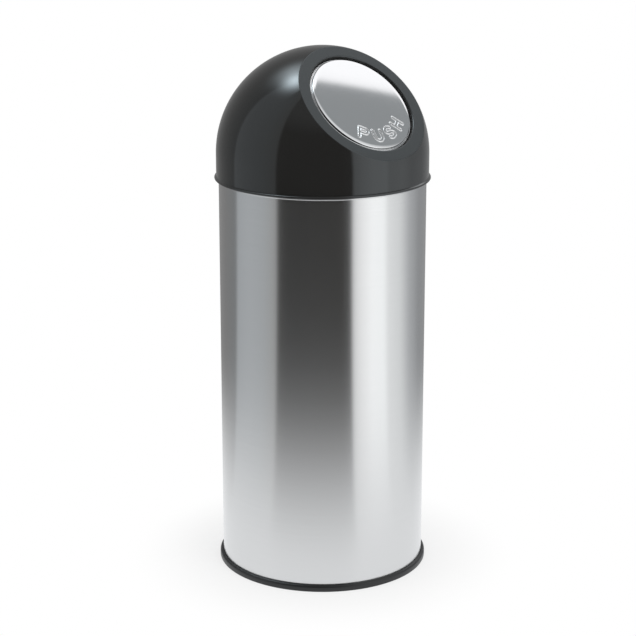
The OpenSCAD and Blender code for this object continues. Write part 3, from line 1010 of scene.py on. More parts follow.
def wire_along(name, path, slot, radius, sides):
    """A round wire along a path of points."""
    piece = new_object(name, path, edges=[(i, i + 1) for i in range(len(path) - 1)])
    return run_tree(piece, wire_tree(), Radius=radius, Sides=sides, Finish=finish(slot))


@cache
def spring_tree():
    """Winds a torsion spring round the X axis, with a straight leg at each end."""
    tree, n, start = new_tree("Torsion spring", {
        "Turns": ("Int", 5), "Steps": ("Int", 28), "Coil": ("Float", 0.0045),
        "Pitch": ("Float", 0.0015), "Start": ("Float", 0.04), "Tip": ("Float", 0.01),
        "Leg": ("Float", 0.02), "Wire": ("Float", 0.0006),
    })
    wound = start["Turns"] * start["Steps"]
    line = n.add("GeometryNodeMeshLine", {"mode": "OFFSET"}, {"Count": wound + 3})
    index = n.add("GeometryNodeInputIndex")
    share = n.add("ShaderNodeClamp", {}, {0: (index - 1) / wound, 1: 0, 2: 1})
    angle = share * start["Turns"] * TAU
    slide = (index > wound + 1.5) * start["Leg"] - (index < 0.5) * start["Tip"]
    place = n.vector(
        start["Start"] - start["Pitch"] * start["Turns"] * share,
        -(slide + start["Coil"] * angle.math("SINE")),
        start["Coil"] * angle.math("COSINE"),
    )
    bent = n.add("GeometryNodeSetPosition", {}, {"Geometry": line, "Position": place})
    close_tree(n, round_wire(n, bent, start["Wire"], 14), start["Finish"])
    return tree


# ---------- body ----------


def make_body(sizes):
    """Body sheet with its rolled rim, and the floor pressing."""
    inner = sizes.radius - sizes.wall
    outer_gap = sizes.radius - sizes.rim_radius
    inner_gap = sizes.rim_radius - inner
    start = -math.degrees(math.acos(outer_gap / sizes.rim_bead))
    end = 180 + math.degrees(math.acos(inner_gap / sizes.rim_bead))
    levels = [sizes.foot + (sizes.rim_height - sizes.foot) * i / 12 for i in range(12)]
    outline = [(sizes.radius, z) for z in levels]
    outline += arc((sizes.rim_radius, sizes.rim_height), sizes.rim_bead, start, end, 26)
    outline += [(inner, z) for z in levels[::-1]]
    shell = turned("body_shell", outline, "brushed_body", steps=240)
    hand_over(shell, "bin_body", "brushed_body", "outer_body", crease=50)

    low, pressed = sizes.ledge, sizes.ledge - sizes.floor_step
    step_in, step_out = 112 * MM, 118 * MM
    sheet, corner, bend = 1 * MM, 2.5 * MM, 3 * MM
    path = rounded([
        (0, pressed, 0), (step_in, pressed, bend), (step_out, low, bend),
        (sizes.floor_radius, low, corner), (sizes.floor_radius, sizes.floor_edge, 0),
    ], closed=False)
    floor = turned("floor_pressing", strip(path, sheet), "galvanised_steel", steps=120)
    hand_over(floor, "bin_body", "galvanised_steel", "body_floor")


def round_the_base(sizes, level):
    """Inputs that set copies round the base, one at each screw."""
    return {
        "Rows": sizes.count, "First": (sizes.ring, 0, level), "First angle": math.pi / sizes.count,
    }


def make_base_ring(sizes, fasteners):
    """Base ring that grips the body's lower edge, with a sunk hole for each screw."""
    grip, seat = sizes.radius + EASY_FIT, sizes.floor_radius
    sharp, soft = 0.3 * MM, 0.8 * MM
    corners = [
        (sizes.ring_inner, 0, soft), (sizes.ring_radius, 0, 0.9 * MM),
        (sizes.ring_radius, sizes.ring_height, sizes.ring_round),
        (grip, sizes.ring_height, sharp), (grip, sizes.foot, 0),
        (seat, sizes.foot, 0), (seat, sizes.ledge, sharp), (sizes.ring_inner, sizes.ledge, soft),
    ]
    ring = turned("base_ring_moulding", rounded(corners), "black_plastic", steps=200)
    head = fasteners.head / 2 + 0.5 * MM
    sunk = fasteners.sink + fasteners.head_height
    shank = fasteners.thread / 2 + CLOSE_FIT
    past = 12 * MM
    hole = [(0, -MM), (head, -MM), (head, sunk), (shank, sunk), (shank, past), (0, past)]
    cutter = turned("recess", hole, "black_plastic", steps=40)
    cutters = copies("recesses", cutter, "black_plastic", **round_the_base(fasteners, 0))
    hand_over(carved(ring, cutters), "bin_body", "black_plastic", "base_ring")


def pan_screw(sizes):
    """A screw with a crossed pan head, head down, its point up."""
    radius, top = sizes.head / 2, sizes.sink + sizes.head_height
    shank, end = sizes.thread / 2, sizes.screw_end
    bend, pitch, groove, tip = 1.2 * MM, 0.7 * MM, 0.3 * MM, 0.5 * MM
    outline = [(0, sizes.sink)]
    outline += arc((radius - bend, sizes.sink + bend), bend, -90, 0, 6)
    outline += [(radius, top), (shank, top)]
    z = top + 2 * pitch
    while z + pitch < end - tip:
        outline += [(shank, z), (shank - groove, z + pitch / 2)]
        z += pitch
    outline += [(shank, z), (shank - 2 * groove, end), (0, end)]
    screw = turned("screw", outline, "zinc_plated_steel", steps=32)
    arm, half, deep = radius - 1.6 * MM, 0.5 * MM, sizes.sink + 1.2 * MM
    bars = [box("bar", (-x, x), (-y, y), (-MM, deep)) for x, y in ((arm, half), (half, arm))]
    return carved(screw, *bars)


def hex_nut(sizes):
    """A nut with chamfered corners, standing on its seat."""
    radius, height = sizes.nut / 2, sizes.nut_height
    nut = prism("nut", circle(radius, 6), 0, height)
    flat, chamfer, past = radius - 0.75 * MM, 0.45 * MM, radius * 2
    for z, side in ((0, -1), (height, 1)):
        start, out = z - side * chamfer, z + side * MM
        cone = [(flat, z), (radius + CLOSE_FIT, start), (past, start), (past, out), (flat, out)]
        carved(nut, turned("chamfer", cone, "zinc_plated_steel", steps=48))
    hole, sink = sizes.thread / 2 + CLOSE_FIT, 0.4 * MM
    wide = hole + sink
    bore = [
        (0, -MM), (wide, -MM), (wide, 0), (hole, sink), (hole, height - sink), (wide, height),
        (wide, height + MM), (0, height + MM),
    ]
    return carved(nut, turned("bore", bore, "zinc_plated_steel", steps=36))


def make_fasteners(sizes):
    """Screws through the base ring and the nuts on them."""
    screws = copies(
        "base_screw_set", pan_screw(sizes), "zinc_plated_steel", **round_the_base(sizes, 0)
    )
    hand_over(screws, "bin_body", "zinc_plated_steel", "base_screws")
    nuts = copies(
        "base_nut_set", hex_nut(sizes), "zinc_plated_steel",
        **round_the_base(sizes, sizes.nut_seat),
    )
    hand_over(nuts, "bin_body", "zinc_plated_steel", "base_nuts")


# ---------- dome lid ----------


def dome_columns(sizes, count):
    """Closed outlines of the dome's wall, one for each direction round its slanted face."""
    out = Vector((0, -math.cos(sizes.tilt), math.sin(sizes.tilt)))
    up = Vector((0, math.sin(sizes.tilt), math.cos(sizes.tilt)))
    side = Vector((1, 0, 0))
    ridge, lip_round, hem = sizes.ridge, sizes.lip_round, sizes.hem
    outer, inner = sizes.radius, sizes.radius - sizes.wall
    back = sizes.face - sizes.wall
    axial = sizes.face - ridge
    ridge_mid = math.sqrt((outer - ridge) ** 2 - axial**2)
    lean = math.atan2(ridge_mid, axial)
    inner_edge = math.asin(math.sqrt(inner**2 - back**2) / inner)
    lip_end = sizes.face - sizes.lip
    opening, lip_out = sizes.opening, sizes.opening + sizes.wall
    bottom = sizes.edge + hem - sizes.centre
    crease = 0.4 * MM  # a short flat beside a bend keeps the wide flats shaded evenly
    bend = lip_round + sizes.wall * 0.3

    near = [(opening, lip_end), (opening, sizes.face - lip_round - 3 * crease)]
    near += arc((opening + lip_round, sizes.face - lip_round), lip_round, 180, 90, 6)
    near += [(opening + lip_round + crease, sizes.face), (ridge_mid - crease, sizes.face)]
    near += arc((ridge_mid, axial), ridge, 90, 90 - math.degrees(lean), 7)

    far = [(inner * math.sin(inner_edge), back), (lip_out + bend + crease, back)]
    far += arc((lip_out + bend, back - bend), bend, 90, 180, 4)
    far += [(lip_out, lip_end)]

    def great_circle(spoke, radius, start, end, steps):
        """Points on the sphere, from one angle off the face's axis to another."""
        angles = [start + (end - start) * i / steps for i in range(1, steps + 1)]
        return [(spoke * math.sin(a) + out * math.cos(a)) * radius for a in angles]

    def skirt(flat, radius, shares):
        """Points straight below the sphere, at shares of the way down to the hem."""
        return [flat * radius + Vector((0, 0, bottom * share)) for share in shares]

    for i in range(count):
        azimuth = TAU * i / count
        round_face = math.atan2(math.sin(azimuth) / math.cos(sizes.tilt), math.cos(azimuth))
        spoke = up * math.cos(round_face) + side * math.sin(round_face)
        # Angle from the face's axis at which this great circle meets the level of the centre
        level = math.atan2(out.z, -spoke.z)
        column = [spoke * x + out * y for x, y in near]
        column += great_circle(spoke, outer, lean, level, 40)
        foot = column[-1].normalized()
        flat = Vector((foot.x, foot.y, 0)).normalized()
        column += skirt(flat, outer, (0.04, 0.5, 0.93))
        # The hem's bead, from the outside of the skirt round to its inside
        for x, z in arc((0, 0), hem, 78, -200, 16):
            column.append(flat * (outer + sizes.hem_out + x) + Vector((0, 0, bottom + z)))
        column += skirt(flat, inner, (0.9, 0.5, 0.04))
        column += great_circle(spoke, inner, inner_edge, level, 24)[::-1]
        column += [spoke * x + out * y for x, y in far]
        yield [point + Vector((0, 0, sizes.centre)) for point in column]


def looped(name, columns):
    """A closed skin through columns of points, each a closed loop, round in a ring."""
    columns = [list(column) for column in columns]
    count, height = len(columns), len(columns[0])
    faces = []
    for i in range(count):
        faces += band(i * height, (i + 1) % count * height, height)
    return new_object(name, [point for column in columns for point in column], faces)


def make_dome(sizes):
    """Dome with its slanted face and lip, the rubber trim and the locating collar."""
    shell = looped("dome_shell", dome_columns(sizes, count=288))
    hand_over(shell, "lid", "black_enamel", "lid_dome", crease=60)

    place, turn = face_frame(sizes)
    inner, outer = sizes.opening - sizes.trim, sizes.opening + sizes.wall + sizes.trim
    slot_in, slot_out = sizes.opening - CLOSE_FIT, outer - sizes.trim + CLOSE_FIT
    foot, web, top = -sizes.lip - sizes.trim, -sizes.lip, -sizes.lip + sizes.trim_grip
    sharp, soft, full = 0.2 * MM, 0.3 * MM, 0.55 * MM
    corners = [
        (inner, foot, full), (outer, foot, full), (outer, top, soft), (slot_out, top, sharp),
        (slot_out, web, 0), (slot_in, web, 0), (slot_in, top, sharp), (inner, top, soft),
    ]
    trim = turned(
        "opening_gasket", rounded(corners, 4), "black_rubber", steps=200, place=place, turn=turn
    )
    hand_over(trim, "lid", "black_rubber", "opening_trim")

    wall = 1.2 * MM
    rim = sizes.radius - sizes.wall - EASY_FIT
    path = rounded([
        (sizes.collar, sizes.collar_foot, 0), (sizes.collar, sizes.collar_seat, 0.5 * MM),
        (rim, sizes.collar_seat, 1.2 * MM), (rim, sizes.collar_top, 0),
    ], closed=False)
    collar = turned("locating_collar", strip(path, wall), "black_plastic", steps=160)
    hand_over(collar, "lid", "black_plastic", "lid_collar")


# ---------- push flap ----------


def letter_strokes(height, width):
    """Stroke lines of the four letters of the word on the flap, each round its own middle."""
    h, w = height / 2, width / 2
    bowl = arc((w - h / 2, h / 2), h / 2, 90, -90, 10)
    cup = arc((0, -h + w), w, 180, 360, 14)
    fit = w / (h / 2)
    upper = [(x * fit, y) for x, y in arc((0, h / 2), h / 2, 30, 270, 14)]
    lower = [(x * fit, y) for x, y in arc((0, -h / 2), h / 2, 90, -150, 14)]
    return [
        [[(-w, -h), (-w, h)], [(-w, h), *bowl, (-w, 0)]],
        [[(-w, h), *cup, (w, h)]],
        [upper + lower[1:]],
        [[(-w, -h), (-w, h)], [(w, -h), (w, h)], [(-w, 0), (w, 0)]],
    ]


def word_relief(sizes, points):
    """Height of the raised outlines of the letters at points on the flap."""
    nearest = np.full(len(points), np.inf)
    letters = letter_strokes(sizes.word_height, sizes.word_width)
    for i, strokes in enumerate(letters):
        angle = sizes.word_middle + (i - (len(letters) - 1) / 2) * sizes.word_step
        out = np.array((math.cos(angle), math.sin(angle)))
        along = np.array((-out[1], out[0]))
        local = np.stack((points @ along, sizes.word_ring - points @ out), axis=1)
        for stroke in strokes:
            for a, b in zip(stroke, stroke[1:]):
                a, b = np.array(a), np.array(b)
                run = b - a
                share = np.clip((local - a) @ run / max(run @ run, 1e-12), 0, 1)
                gap = np.linalg.norm(local - a - share[:, None] * run, axis=1)
                nearest = np.minimum(nearest, gap)
    off = np.abs(nearest - sizes.word_offset) / sizes.word_ridge
    return np.where(off < 1, sizes.word_rise * (0.5 + 0.5 * np.cos(np.pi * off)), 0)


def flap_outline(sizes, radii, word_from):
    """Outline (radius, height) of the flap from its middle out, and underneath back to it.

    It starts at the radii and goes on over the plateau's shoulder. The second result is the
    number of its points up to there, which can carry the word, and the third the middle's height.
    """
    lean = math.radians(11)
    flat = sizes.plateau - sizes.edge * (1 - math.sin(lean))
    level, below = -sizes.flange_depth, -sizes.flange_depth - sizes.wall

    def crown(r):
        """Height of the plateau at a radius."""
        fall = max(0, r - flat + sizes.shoulder) / sizes.shoulder
        dome = sizes.crown * (1 - min(1, r / flat) ** 2)
        return dome - sizes.depth - fall**2 * sizes.shoulder / 2 * math.tan(lean)

    radii = [*radii, *(flat - sizes.shoulder * (1 - i / 8) for i in range(8))]
    outline = [(r, crown(r)) for r in radii]
    middle = (sizes.plateau - sizes.edge, crown(flat) - sizes.edge * math.cos(lean))
    outline += arc(middle, sizes.edge, 90 - math.degrees(lean), 0, 8)
    # The groove at the plateau's foot
    tight, wide = 0.12 * MM, 0.4 * MM
    outline += [
        (sizes.plateau, level + wide), (sizes.plateau + tight, level + tight),
        (sizes.plateau + wide, level),
    ]
    # The bead pressed into the flange
    half = 1.15 * MM
    for i in range(13):
        x = -1 + i / 6
        rise = sizes.bead_rise * math.cos(x * math.pi / 2) ** 1.3
        outline.append((sizes.bead + x * half, level + rise))
    soft = 0.35 * MM
    outline += rounded([
        (sizes.bead + half + 0.3 * MM, level, 0), (sizes.flange, level, soft),
        (sizes.flange, below, soft), (sizes.flange - 3 * MM, below, 0),
    ], 3, closed=False)
    # The underside, back up into the plateau and to the middle
    under = sizes.plateau - sizes.wall
    outline += [
        (under, below), (under, middle[1]), (under - sizes.edge / 2, middle[1] + sizes.edge / 2),
    ]
    hidden = (word_from + 18 * MM, word_from, word_from / 2, radii[0])
    outline += [(r, crown(r) - sizes.wall) for r in hidden]
    return outline, len(radii), crown(0)


def flap_plate(sizes):
    """Pressed steel flap: crowned plateau with the embossed word, groove and beaded flange."""
    # The points lie close together where the word is and far apart elsewhere
    reach = sizes.word_height / 2 + sizes.word_offset + sizes.word_ridge + 1 * MM
    low, high = sizes.word_ring - reach, sizes.word_ring + reach
    radii = [*np.linspace(low * 0.12, low, 8), *np.linspace(low, high, 64)[1:]]
    spread = 1.5 * sizes.word_step + math.radians(16)
    fine, coarse = math.radians(0.4), math.radians(2.4)
    first, last = sizes.word_middle - spread, sizes.word_middle + spread
    angles = list(np.linspace(first, last, round((last - first) / fine)))
    angles += list(np.linspace(last, first + TAU, round((TAU - last + first) / coarse)))[1:-1]

    outline, embossed, top = flap_outline(sizes, radii, low)
    cos, sin, around = np.cos(angles), np.sin(angles), len(angles)
    rings = [np.stack((r * cos, r * sin, np.full(around, z)), axis=1) for r, z in outline]
    raised = [word_relief(sizes, ring[:, :2]) for ring in rings[:embossed]]
    for ring, rise in zip(rings, raised):
        ring[:, 2] += rise
    vertices = np.concatenate(rings).tolist()
    faces = []
    for j in range(len(rings) - 1):
        faces += band(j * around, (j + 1) * around, around)
    middle, under, end = len(vertices), len(vertices) + 1, len(vertices) - around
    vertices += [(0, 0, top), (0, 0, top - sizes.wall)]
    faces += [(middle, (i + 1) % around, i) for i in range(around)]
    faces += [(under, end + i, end + (i + 1) % around) for i in range(around)]
    front = new_object("flap_plate", vertices, faces)
    # The finish reads from this where the metal is raised: 1 on the ridges, down to 0 at their feet
    word = front.data.attributes.new("word", "FLOAT", "POINT")
    share = np.concatenate(raised) / sizes.word_rise
    share = np.pad(share, (0, len(vertices) - len(share)))
    word.data.foreach_set("value", np.clip(share * 1.6, 0, 1))
    return front


def plate(name, outline, hole, thickness, across):
    """A flat plate across X from an outline of (up the slope, depth), with a round hole."""
    flat = bmesh.new()
    edges = []
    for loop in (outline, hole):
        made = [flat.verts.new((across - thickness / 2, u, -d)) for u, d in loop]
        edges += [flat.edges.new((a, b)) for a, b in zip(made, made[1:] + made[:1])]
    bmesh.ops.triangle_fill(flat, use_beauty=True, edges=edges)
    grown = bmesh.ops.extrude_face_region(flat, geom=list(flat.faces))
    verts = [g for g in grown["geom"] if isinstance(g, bmesh.types.BMVert)]
    bmesh.ops.translate(flat, verts=verts, vec=(thickness, 0, 0))
    return edited_object(name, flat)


def eye_and_hole(hinge):
    """Outlines of an eye round the axle and of its hole."""
    middle = (hinge.axle_up, hinge.axle_depth)
    return circle(hinge.eye, 48, middle), circle(hinge.axle + CLOSE_FIT, 36, middle)


def make_flap(sizes, hinge, dome):
    """Flap plate, backing plate and the two ears that hang on the axle."""
    place, turn = face_frame(dome)
    there = face_matrix(dome)
    front = moved(flap_plate(sizes), there)
    hand_over(front, "flap", "satin_flap", "flap_face", crease=50)

    low = -sizes.flange_depth - 2 * sizes.wall
    raised, bend = low + 0.8 * MM, 1.5 * MM
    path = rounded([
        (0, raised, 0), (40 * MM, raised, bend), (43 * MM, low, bend), (sizes.backing, low, 0),
    ], closed=False)
    backing = turned(
        "flap_backing_plate", strip(path, sizes.wall), "grey_enamel",
        steps=140, place=place, turn=turn,
    )
    hand_over(backing, "flap", "grey_enamel", "flap_backing")

    eye, hole = eye_and_hole(hinge)
    outline = hull(eye + [(hinge.ear_top - hinge.ear_foot, -low), (hinge.ear_top, -low)])
    ears = [plate("ear", outline, hole, hinge.plate, side * hinge.ear) for side in (-1, 1)]
    pair = softened(joined("flap_ear_pair", *ears), 0.3 * MM)
    hand_over(moved(pair, there), "flap", "grey_enamel", "flap_ears")


# ---------- flap hinge ----------


def rod_outline(radius, long, chamfer=0.5 * MM):
    """Outline of a rod with chamfered ends."""
    return [
        (0, 0), (radius - chamfer, 0), (radius, chamfer), (radius, long - chamfer),
        (radius - chamfer, long), (0, long),
    ]


def axle_matrix(sizes, dome):
    """Place and turn of the axle, which lies along X."""
    return face_matrix(dome) @ Matrix.Translation((0, sizes.axle_up, -sizes.axle_depth))


def make_axle(sizes, dome):
    """Axle of the flap and the clip at each of its ends."""
    there = axle_matrix(sizes, dome)
    axle = turned(
        "hinge_pin", rod_outline(sizes.axle, 2 * sizes.axle_half), "zinc_plated_steel",
        steps=48, place=(-sizes.axle_half, 0, 0), turn=ALONG_X,
    )
    hand_over(moved(axle, there), "lid", "zinc_plated_steel", "hinge_axle")

    bore, thick = sizes.axle + CLOSE_FIT, sizes.clip_thickness
    sharp, soft = 0.1 * MM, 0.2 * MM
    corners = [
        (bore, 0, sharp), (sizes.clip / 2, 0, soft), (sizes.clip / 2, thick, soft),
        (bore, thick, sharp),
    ]
    clip = turned("clip", rounded(corners, 3), "zinc_plated_steel", steps=48)
    notch, room = 0.9 * MM, 0.3 * MM
    carved(clip, box("notch", (2.9 * MM, 6 * MM), (-notch, notch), (-MM, 2 * MM)))
    moved(clip, Matrix.Translation((0, 0, -thick / 2)))
    middle = sizes.bracket + sizes.plate / 2 + room + thick / 2
    clips = copies("axle_clip_pair", clip, "zinc_plated_steel", **{
        "Per row": 2, "Step": (2 * middle, 0, 0), "Each turn": ALONG_X,
    })
    hand_over(moved(clips, there), "lid", "zinc_plated_steel", "axle_clips")


def make_brackets(sizes, dome):
    """Folded brackets: a web with the eye for the axle, and a foot against the dome."""
    eye, hole = eye_and_hole(sizes)
    low, high, web_end = sizes.foot_up, sizes.foot_up + sizes.foot, 7.1 * MM
    outline = hull(eye + [(sizes.web, dome.wall), (high, dome.wall), (sizes.web, web_end)])
    inner = sizes.bracket - sizes.plate / 2
    outer = sizes.bracket + sizes.plate / 2 + sizes.foot_width
    soft = sizes.foot_width * 0.3
    tab = rounded([(inner, low, 0), (outer, low, soft), (outer, high, soft), (inner, high, 0)])
    for name, side in (("left", -1), ("right", 1)):
        web = plate("web", outline, hole, sizes.plate, side * sizes.bracket)
        foot = prism(
            "foot", [(side * x, y) for x, y in tab], -dome.wall - sizes.plate, -dome.wall
        )
        bracket = softened(joined("bracket_" + name, web, foot), 0.3 * MM)
        bracket = moved(bracket, face_matrix(dome))
        hand_over(bracket, "lid", "grey_enamel", "hinge_bracket_" + name)


def make_studs(sizes, dome, fasteners):
    """Weld studs inside the dome, and the nuts that hold the brackets on them."""
    place, turn = face_frame(dome)
    pair = {
        "Per row": 2, "Step": (2 * sizes.stud_x, 0, 0), "Place": tuple(place), "Turn": tuple(turn),
    }
    up = sizes.foot_up + sizes.foot / 2
    rod = rod_outline(fasteners.thread / 2, sizes.stud_end - dome.wall)
    stud = turned("stud", rod, "zinc_plated_steel", steps=32)
    studs = copies(
        "bracket_stud_pair", stud, "zinc_plated_steel", First=(0, up, -sizes.stud_end), **pair
    )
    hand_over(studs, "lid", "zinc_plated_steel", "bracket_studs")
    seat = -dome.wall - sizes.plate - fasteners.nut_height
    nuts = copies(
        "bracket_nut_pair", hex_nut(fasteners), "zinc_plated_steel", First=(0, up, seat), **pair
    )
    hand_over(nuts, "lid", "zinc_plated_steel", "bracket_nuts")


def make_springs(sizes, dome):
    """Torsion springs on the axle, each with one leg against the dome and one on the flap."""
    there = axle_matrix(sizes, dome)
    for name, side in (("left", -1), ("right", 1)):
        spring = run_tree(
            new_object("torsion_spring_" + name, [(0, 0, 0)]), spring_tree(),
            Turns=sizes.turns, Coil=sizes.coil, Pitch=sizes.coil_pitch, Start=sizes.coil_start,
            Tip=sizes.coil_tip, Leg=sizes.coil_leg, Wire=sizes.wire / 2,
            Finish=finish("spring_steel"),
        )
        moved(spring, Matrix.Diagonal((side, 1, 1, 1)))
        dress(moved(spring, there), "spring_steel", "flap_spring_" + name, crease=50)
        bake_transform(spring)


# ---------- liner and handle ----------


def liner_radius(sizes, z):
    """Outer radius of the liner's wall at height z."""
    slope = (sizes.radius - sizes.foot_radius) / (sizes.rim - sizes.foot)
    return sizes.radius - slope * (sizes.rim - z)


def make_liner(sizes):
    """Liner wall with its rolled rim and pressed ribs, and its floor."""
    bead = sizes.bead
    ribs, half = (120 * MM, 300 * MM, 440 * MM), 6 * MM
    levels = [sizes.foot]
    for rib in ribs:
        levels += [rib + half * (i / 8 - 1) for i in range(17)]
    levels.append(sizes.rim - 2 * bead)

    def wall_out(z):
        """Outer radius at a height, with the ribs."""
        rise = sum(
            sizes.rib * (0.5 + 0.5 * math.cos(math.pi * (z - rib) / half))
            for rib in ribs if abs(z - rib) < half
        )
        return liner_radius(sizes, z) + rise

    outside = [(wall_out(z), z) for z in levels]
    inside = [(wall_out(z) - sizes.wall, z) for z in levels[::-1]]
    roll = arc((sizes.radius + bead / 2, sizes.rim), bead, -120, 180, 24)
    outline = outside + roll + [(sizes.radius - sizes.wall, sizes.rim - 0.4 * bead)] + inside
    shell = turned("liner_shell", outline, "galvanised_steel", steps=180)
    hand_over(shell, "liner", "galvanised_steel", "liner_wall", crease=45)

    radius = liner_radius(sizes, sizes.foot) - sizes.wall - EASY_FIT
    pressed, bend = sizes.base - 2 * MM, 2 * MM
    path = rounded([
        (radius, sizes.foot, 0), (radius, sizes.base, 2.2 * MM), (96 * MM, sizes.base, bend),
        (92 * MM, pressed, bend), (0, pressed, 0),
    ], closed=False)
    floor = turned("liner_base", strip(path, sizes.wall), "galvanised_steel", steps=140)
    hand_over(floor, "liner", "galvanised_steel", "liner_floor")


def lug_piece(sizes, name, side):
    """A curved lug with rounded corners and a boss for the handle's end."""
    top = sizes.pivot + sizes.lug_above
    low = top - sizes.lug_height
    half, corner, edge = sizes.lug_width / 2, 7 * MM, 2 * MM
    heights = [low + corner * (1 - math.cos(math.pi / 2 * i / 6)) for i in range(7)]
    heights += [low + corner + (top - edge - low - corner) * i / 5 for i in range(1, 6)]
    heights += [top - edge + edge * math.sin(math.pi / 2 * i / 4) for i in range(1, 5)]

    def inset(z):
        """How far the corners take the lug's sides in at a height."""
        for radius, off in ((corner, low + corner - z), (edge, z - top + edge)):
            if off > 0:
                return radius - math.sqrt(max(0, radius**2 - off**2))
        return 0

    across, rows = 14, len(heights)
    vertices = []
    for extra in (EASY_FIT, EASY_FIT + sizes.lug_wall):
        for z in heights:
            radius = liner_radius(sizes, z) + extra
            wide = half - inset(z)
            for i in range(across + 1):
                y = wide * (2 * i / across - 1)
                vertices.append((math.sqrt(radius**2 - y * y), y, z))
    # An inner and an outer skin, and the rim between them
    width, total = across + 1, rows * (across + 1)
    faces = []
    for j in range(rows - 1):
        for i in range(across):
            a = j * width + i
            faces.append((a, a + width, a + width + 1, a + 1))
            faces.append((a + total, a + 1 + total, a + width + 1 + total, a + width + total))
    rim = [*range(width), *(j * width + across for j in range(1, rows))]
    rim += [(rows - 1) * width + i for i in range(across - 1, -1, -1)]
    rim += [j * width for j in range(rows - 2, 0, -1)]
    faces += [(a, b, b + total, a + total) for a, b in zip(rim, rim[1:] + rim[:1])]
    sheet = softened(new_object("sheet", vertices, faces), 0.35 * MM, angle=50)

    start = liner_radius(sizes, sizes.pivot) + EASY_FIT + sizes.lug_wall * 0.6
    long, bore = sizes.boss_end - start, sizes.pin + CLOSE_FIT
    corners = [
        (bore, 0, 0), (sizes.boss, 0, 0), (sizes.boss, long, 0.8 * MM), (bore, long, 0.3 * MM),
    ]
    boss = turned(
        "boss", rounded(corners, 4), "galvanised_steel",
        steps=48, place=(start, 0, sizes.pivot), turn=ALONG_X,
    )
    return moved(joined("lug_" + name, sheet, boss), Matrix.Diagonal((side, side, 1, 1)))


def make_rivets(sizes):
    """Rivets of the lugs, each with a domed head outside and a flat one inside the liner."""
    z, y = sizes.pivot - sizes.rivet_drop, sizes.rivet_apart / 2
    radius, shank, edge = sizes.rivet, 1.6 * MM, 0.25 * MM
    outside = liner_radius(sizes, z) + EASY_FIT + sizes.lug_wall
    seat = math.sqrt(outside**2 - (y - radius) ** 2) + EASY_FIT
    inside = liner_radius(sizes, z) - sizes.wall
    back = math.sqrt(inside**2 - (y + radius) ** 2) - EASY_FIT - seat
    low = back - sizes.rivet_height
    outline = [
        (0, low), (radius - 0.8 * MM, low), (radius, low + 0.5 * MM), (radius, back),
        (shank, back), (shank, 0), (radius, 0), (radius, edge),
    ]
    outline += [
        (radius * math.cos(a), edge + (sizes.rivet_height - edge) * math.sin(a))
        for a in (math.pi / 2 * i / 7 for i in range(1, 8))
    ]
    rivet = turned("rivet", outline, "zinc_plated_steel", steps=36)
    rivets = copies("lug_rivet_set", rivet, "zinc_plated_steel", **{
        "Rows": 2, "Per row": 2, "First": (seat, 0, z), "Step": (0, 2 * y, 0),
        "Each turn": ALONG_X,
    })
    hand_over(rivets, "liner", "zinc_plated_steel", "lug_rivets")


def wire_bail(sizes):
    """The handle's wire: a level bow with hooked ends, and the pins that turn in the lugs."""
    bend = 2.9 * MM
    inner = sizes.bail - bend
    bow_from = math.asin(bend / inner)
    hook = [(inner - EASY_FIT, 0.0)]
    hook += arc((inner * math.cos(bow_from), bend), bend, -90, math.degrees(bow_from), 8)
    bow = [
        (sizes.bail * math.cos(a), sizes.bail * math.sin(a))
        for a in np.linspace(bow_from, math.pi - bow_from, 130)[1:-1]
    ]
    path = [(x, y, sizes.pivot) for x, y in hook + bow + [(-x, y) for x, y in hook[::-1]]]
    wires = [wire_along("bail", path, "zinc_plated_steel", radius=sizes.wire, sides=24)]
    room, into_hook, chamfer = 0.6 * MM, 0.6 * MM, 0.4 * MM
    start = liner_radius(sizes, sizes.pivot) + room
    rod = rod_outline(sizes.pin, inner + into_hook - start, chamfer)
    for side in (0, math.pi):
        pin = turned(
            "pin", rod, "zinc_plated_steel", steps=28, place=(start, 0, 0), turn=ALONG_X
        )
        there = Matrix.Translation((0, 0, sizes.pivot)) @ Matrix.Rotation(side, 4, "Z")
        wires.append(moved(pin, there))
    return joined("bail_wire", *wires)


def grip_moulding(sizes):
    """A moulded grip with rounded ends and finger ribs, along the middle of the handle."""
    bore = sizes.wire + CLOSE_FIT
    rounding = 1.2 * MM
    half = sizes.grip_arc * sizes.bail / 2
    ribbed, fading = half - 5 * MM, 4 * MM
    pitch, depth = 3.4 * MM, 0.45 * MM

    ends = arc((-half + rounding, sizes.grip - rounding), rounding, 180, 90, 6)
    outside = []
    for i in range(151):
        along = ribbed * (i / 75 - 1)
        fade = min(1, (ribbed - abs(along)) / fading)
        groove = 0.5 - 0.5 * math.cos(along / pitch * TAU)
        outside.append((along, sizes.grip - depth * fade * groove**2))
    inside = [(half * (1 - i / 12), bore) for i in range(25)]
    outline = ends + outside + [(-x, r) for x, r in ends[::-1]] + inside

    around = 32
    columns = []
    for i in range(around):
        turn = TAU * i / around
        column = []
        for along, radius in outline:
            direction = math.pi / 2 + along / sizes.bail
            reach = sizes.bail + radius * math.cos(turn)
            column.append(Vector((
                reach * math.cos(direction), reach * math.sin(direction),
                sizes.pivot + radius * math.sin(turn),
            )))
        columns.append(column)
    return looped("grip_moulding", columns)


def make_handle(sizes):
    """Lugs, rivets, the wire handle and its grip."""
    for name, side in (("left", -1), ("right", 1)):
        lug = lug_piece(sizes, name, side)
        hand_over(lug, "liner", "galvanised_steel", "handle_lug_" + name)
    make_rivets(sizes)
    hand_over(wire_bail(sizes), "handle", "zinc_plated_steel", "liner_handle", crease=45)
    hand_over(grip_moulding(sizes), "handle", "black_plastic", "handle_grip", crease=50)


# ---------- studio ----------


def camera_axes(azimuth):
    """Level directions to the picture's right and towards the camera."""
    right = (math.cos(azimuth), math.sin(azimuth))
    towards = (math.sin(azimuth), -math.cos(azimuth))
    return right, towards


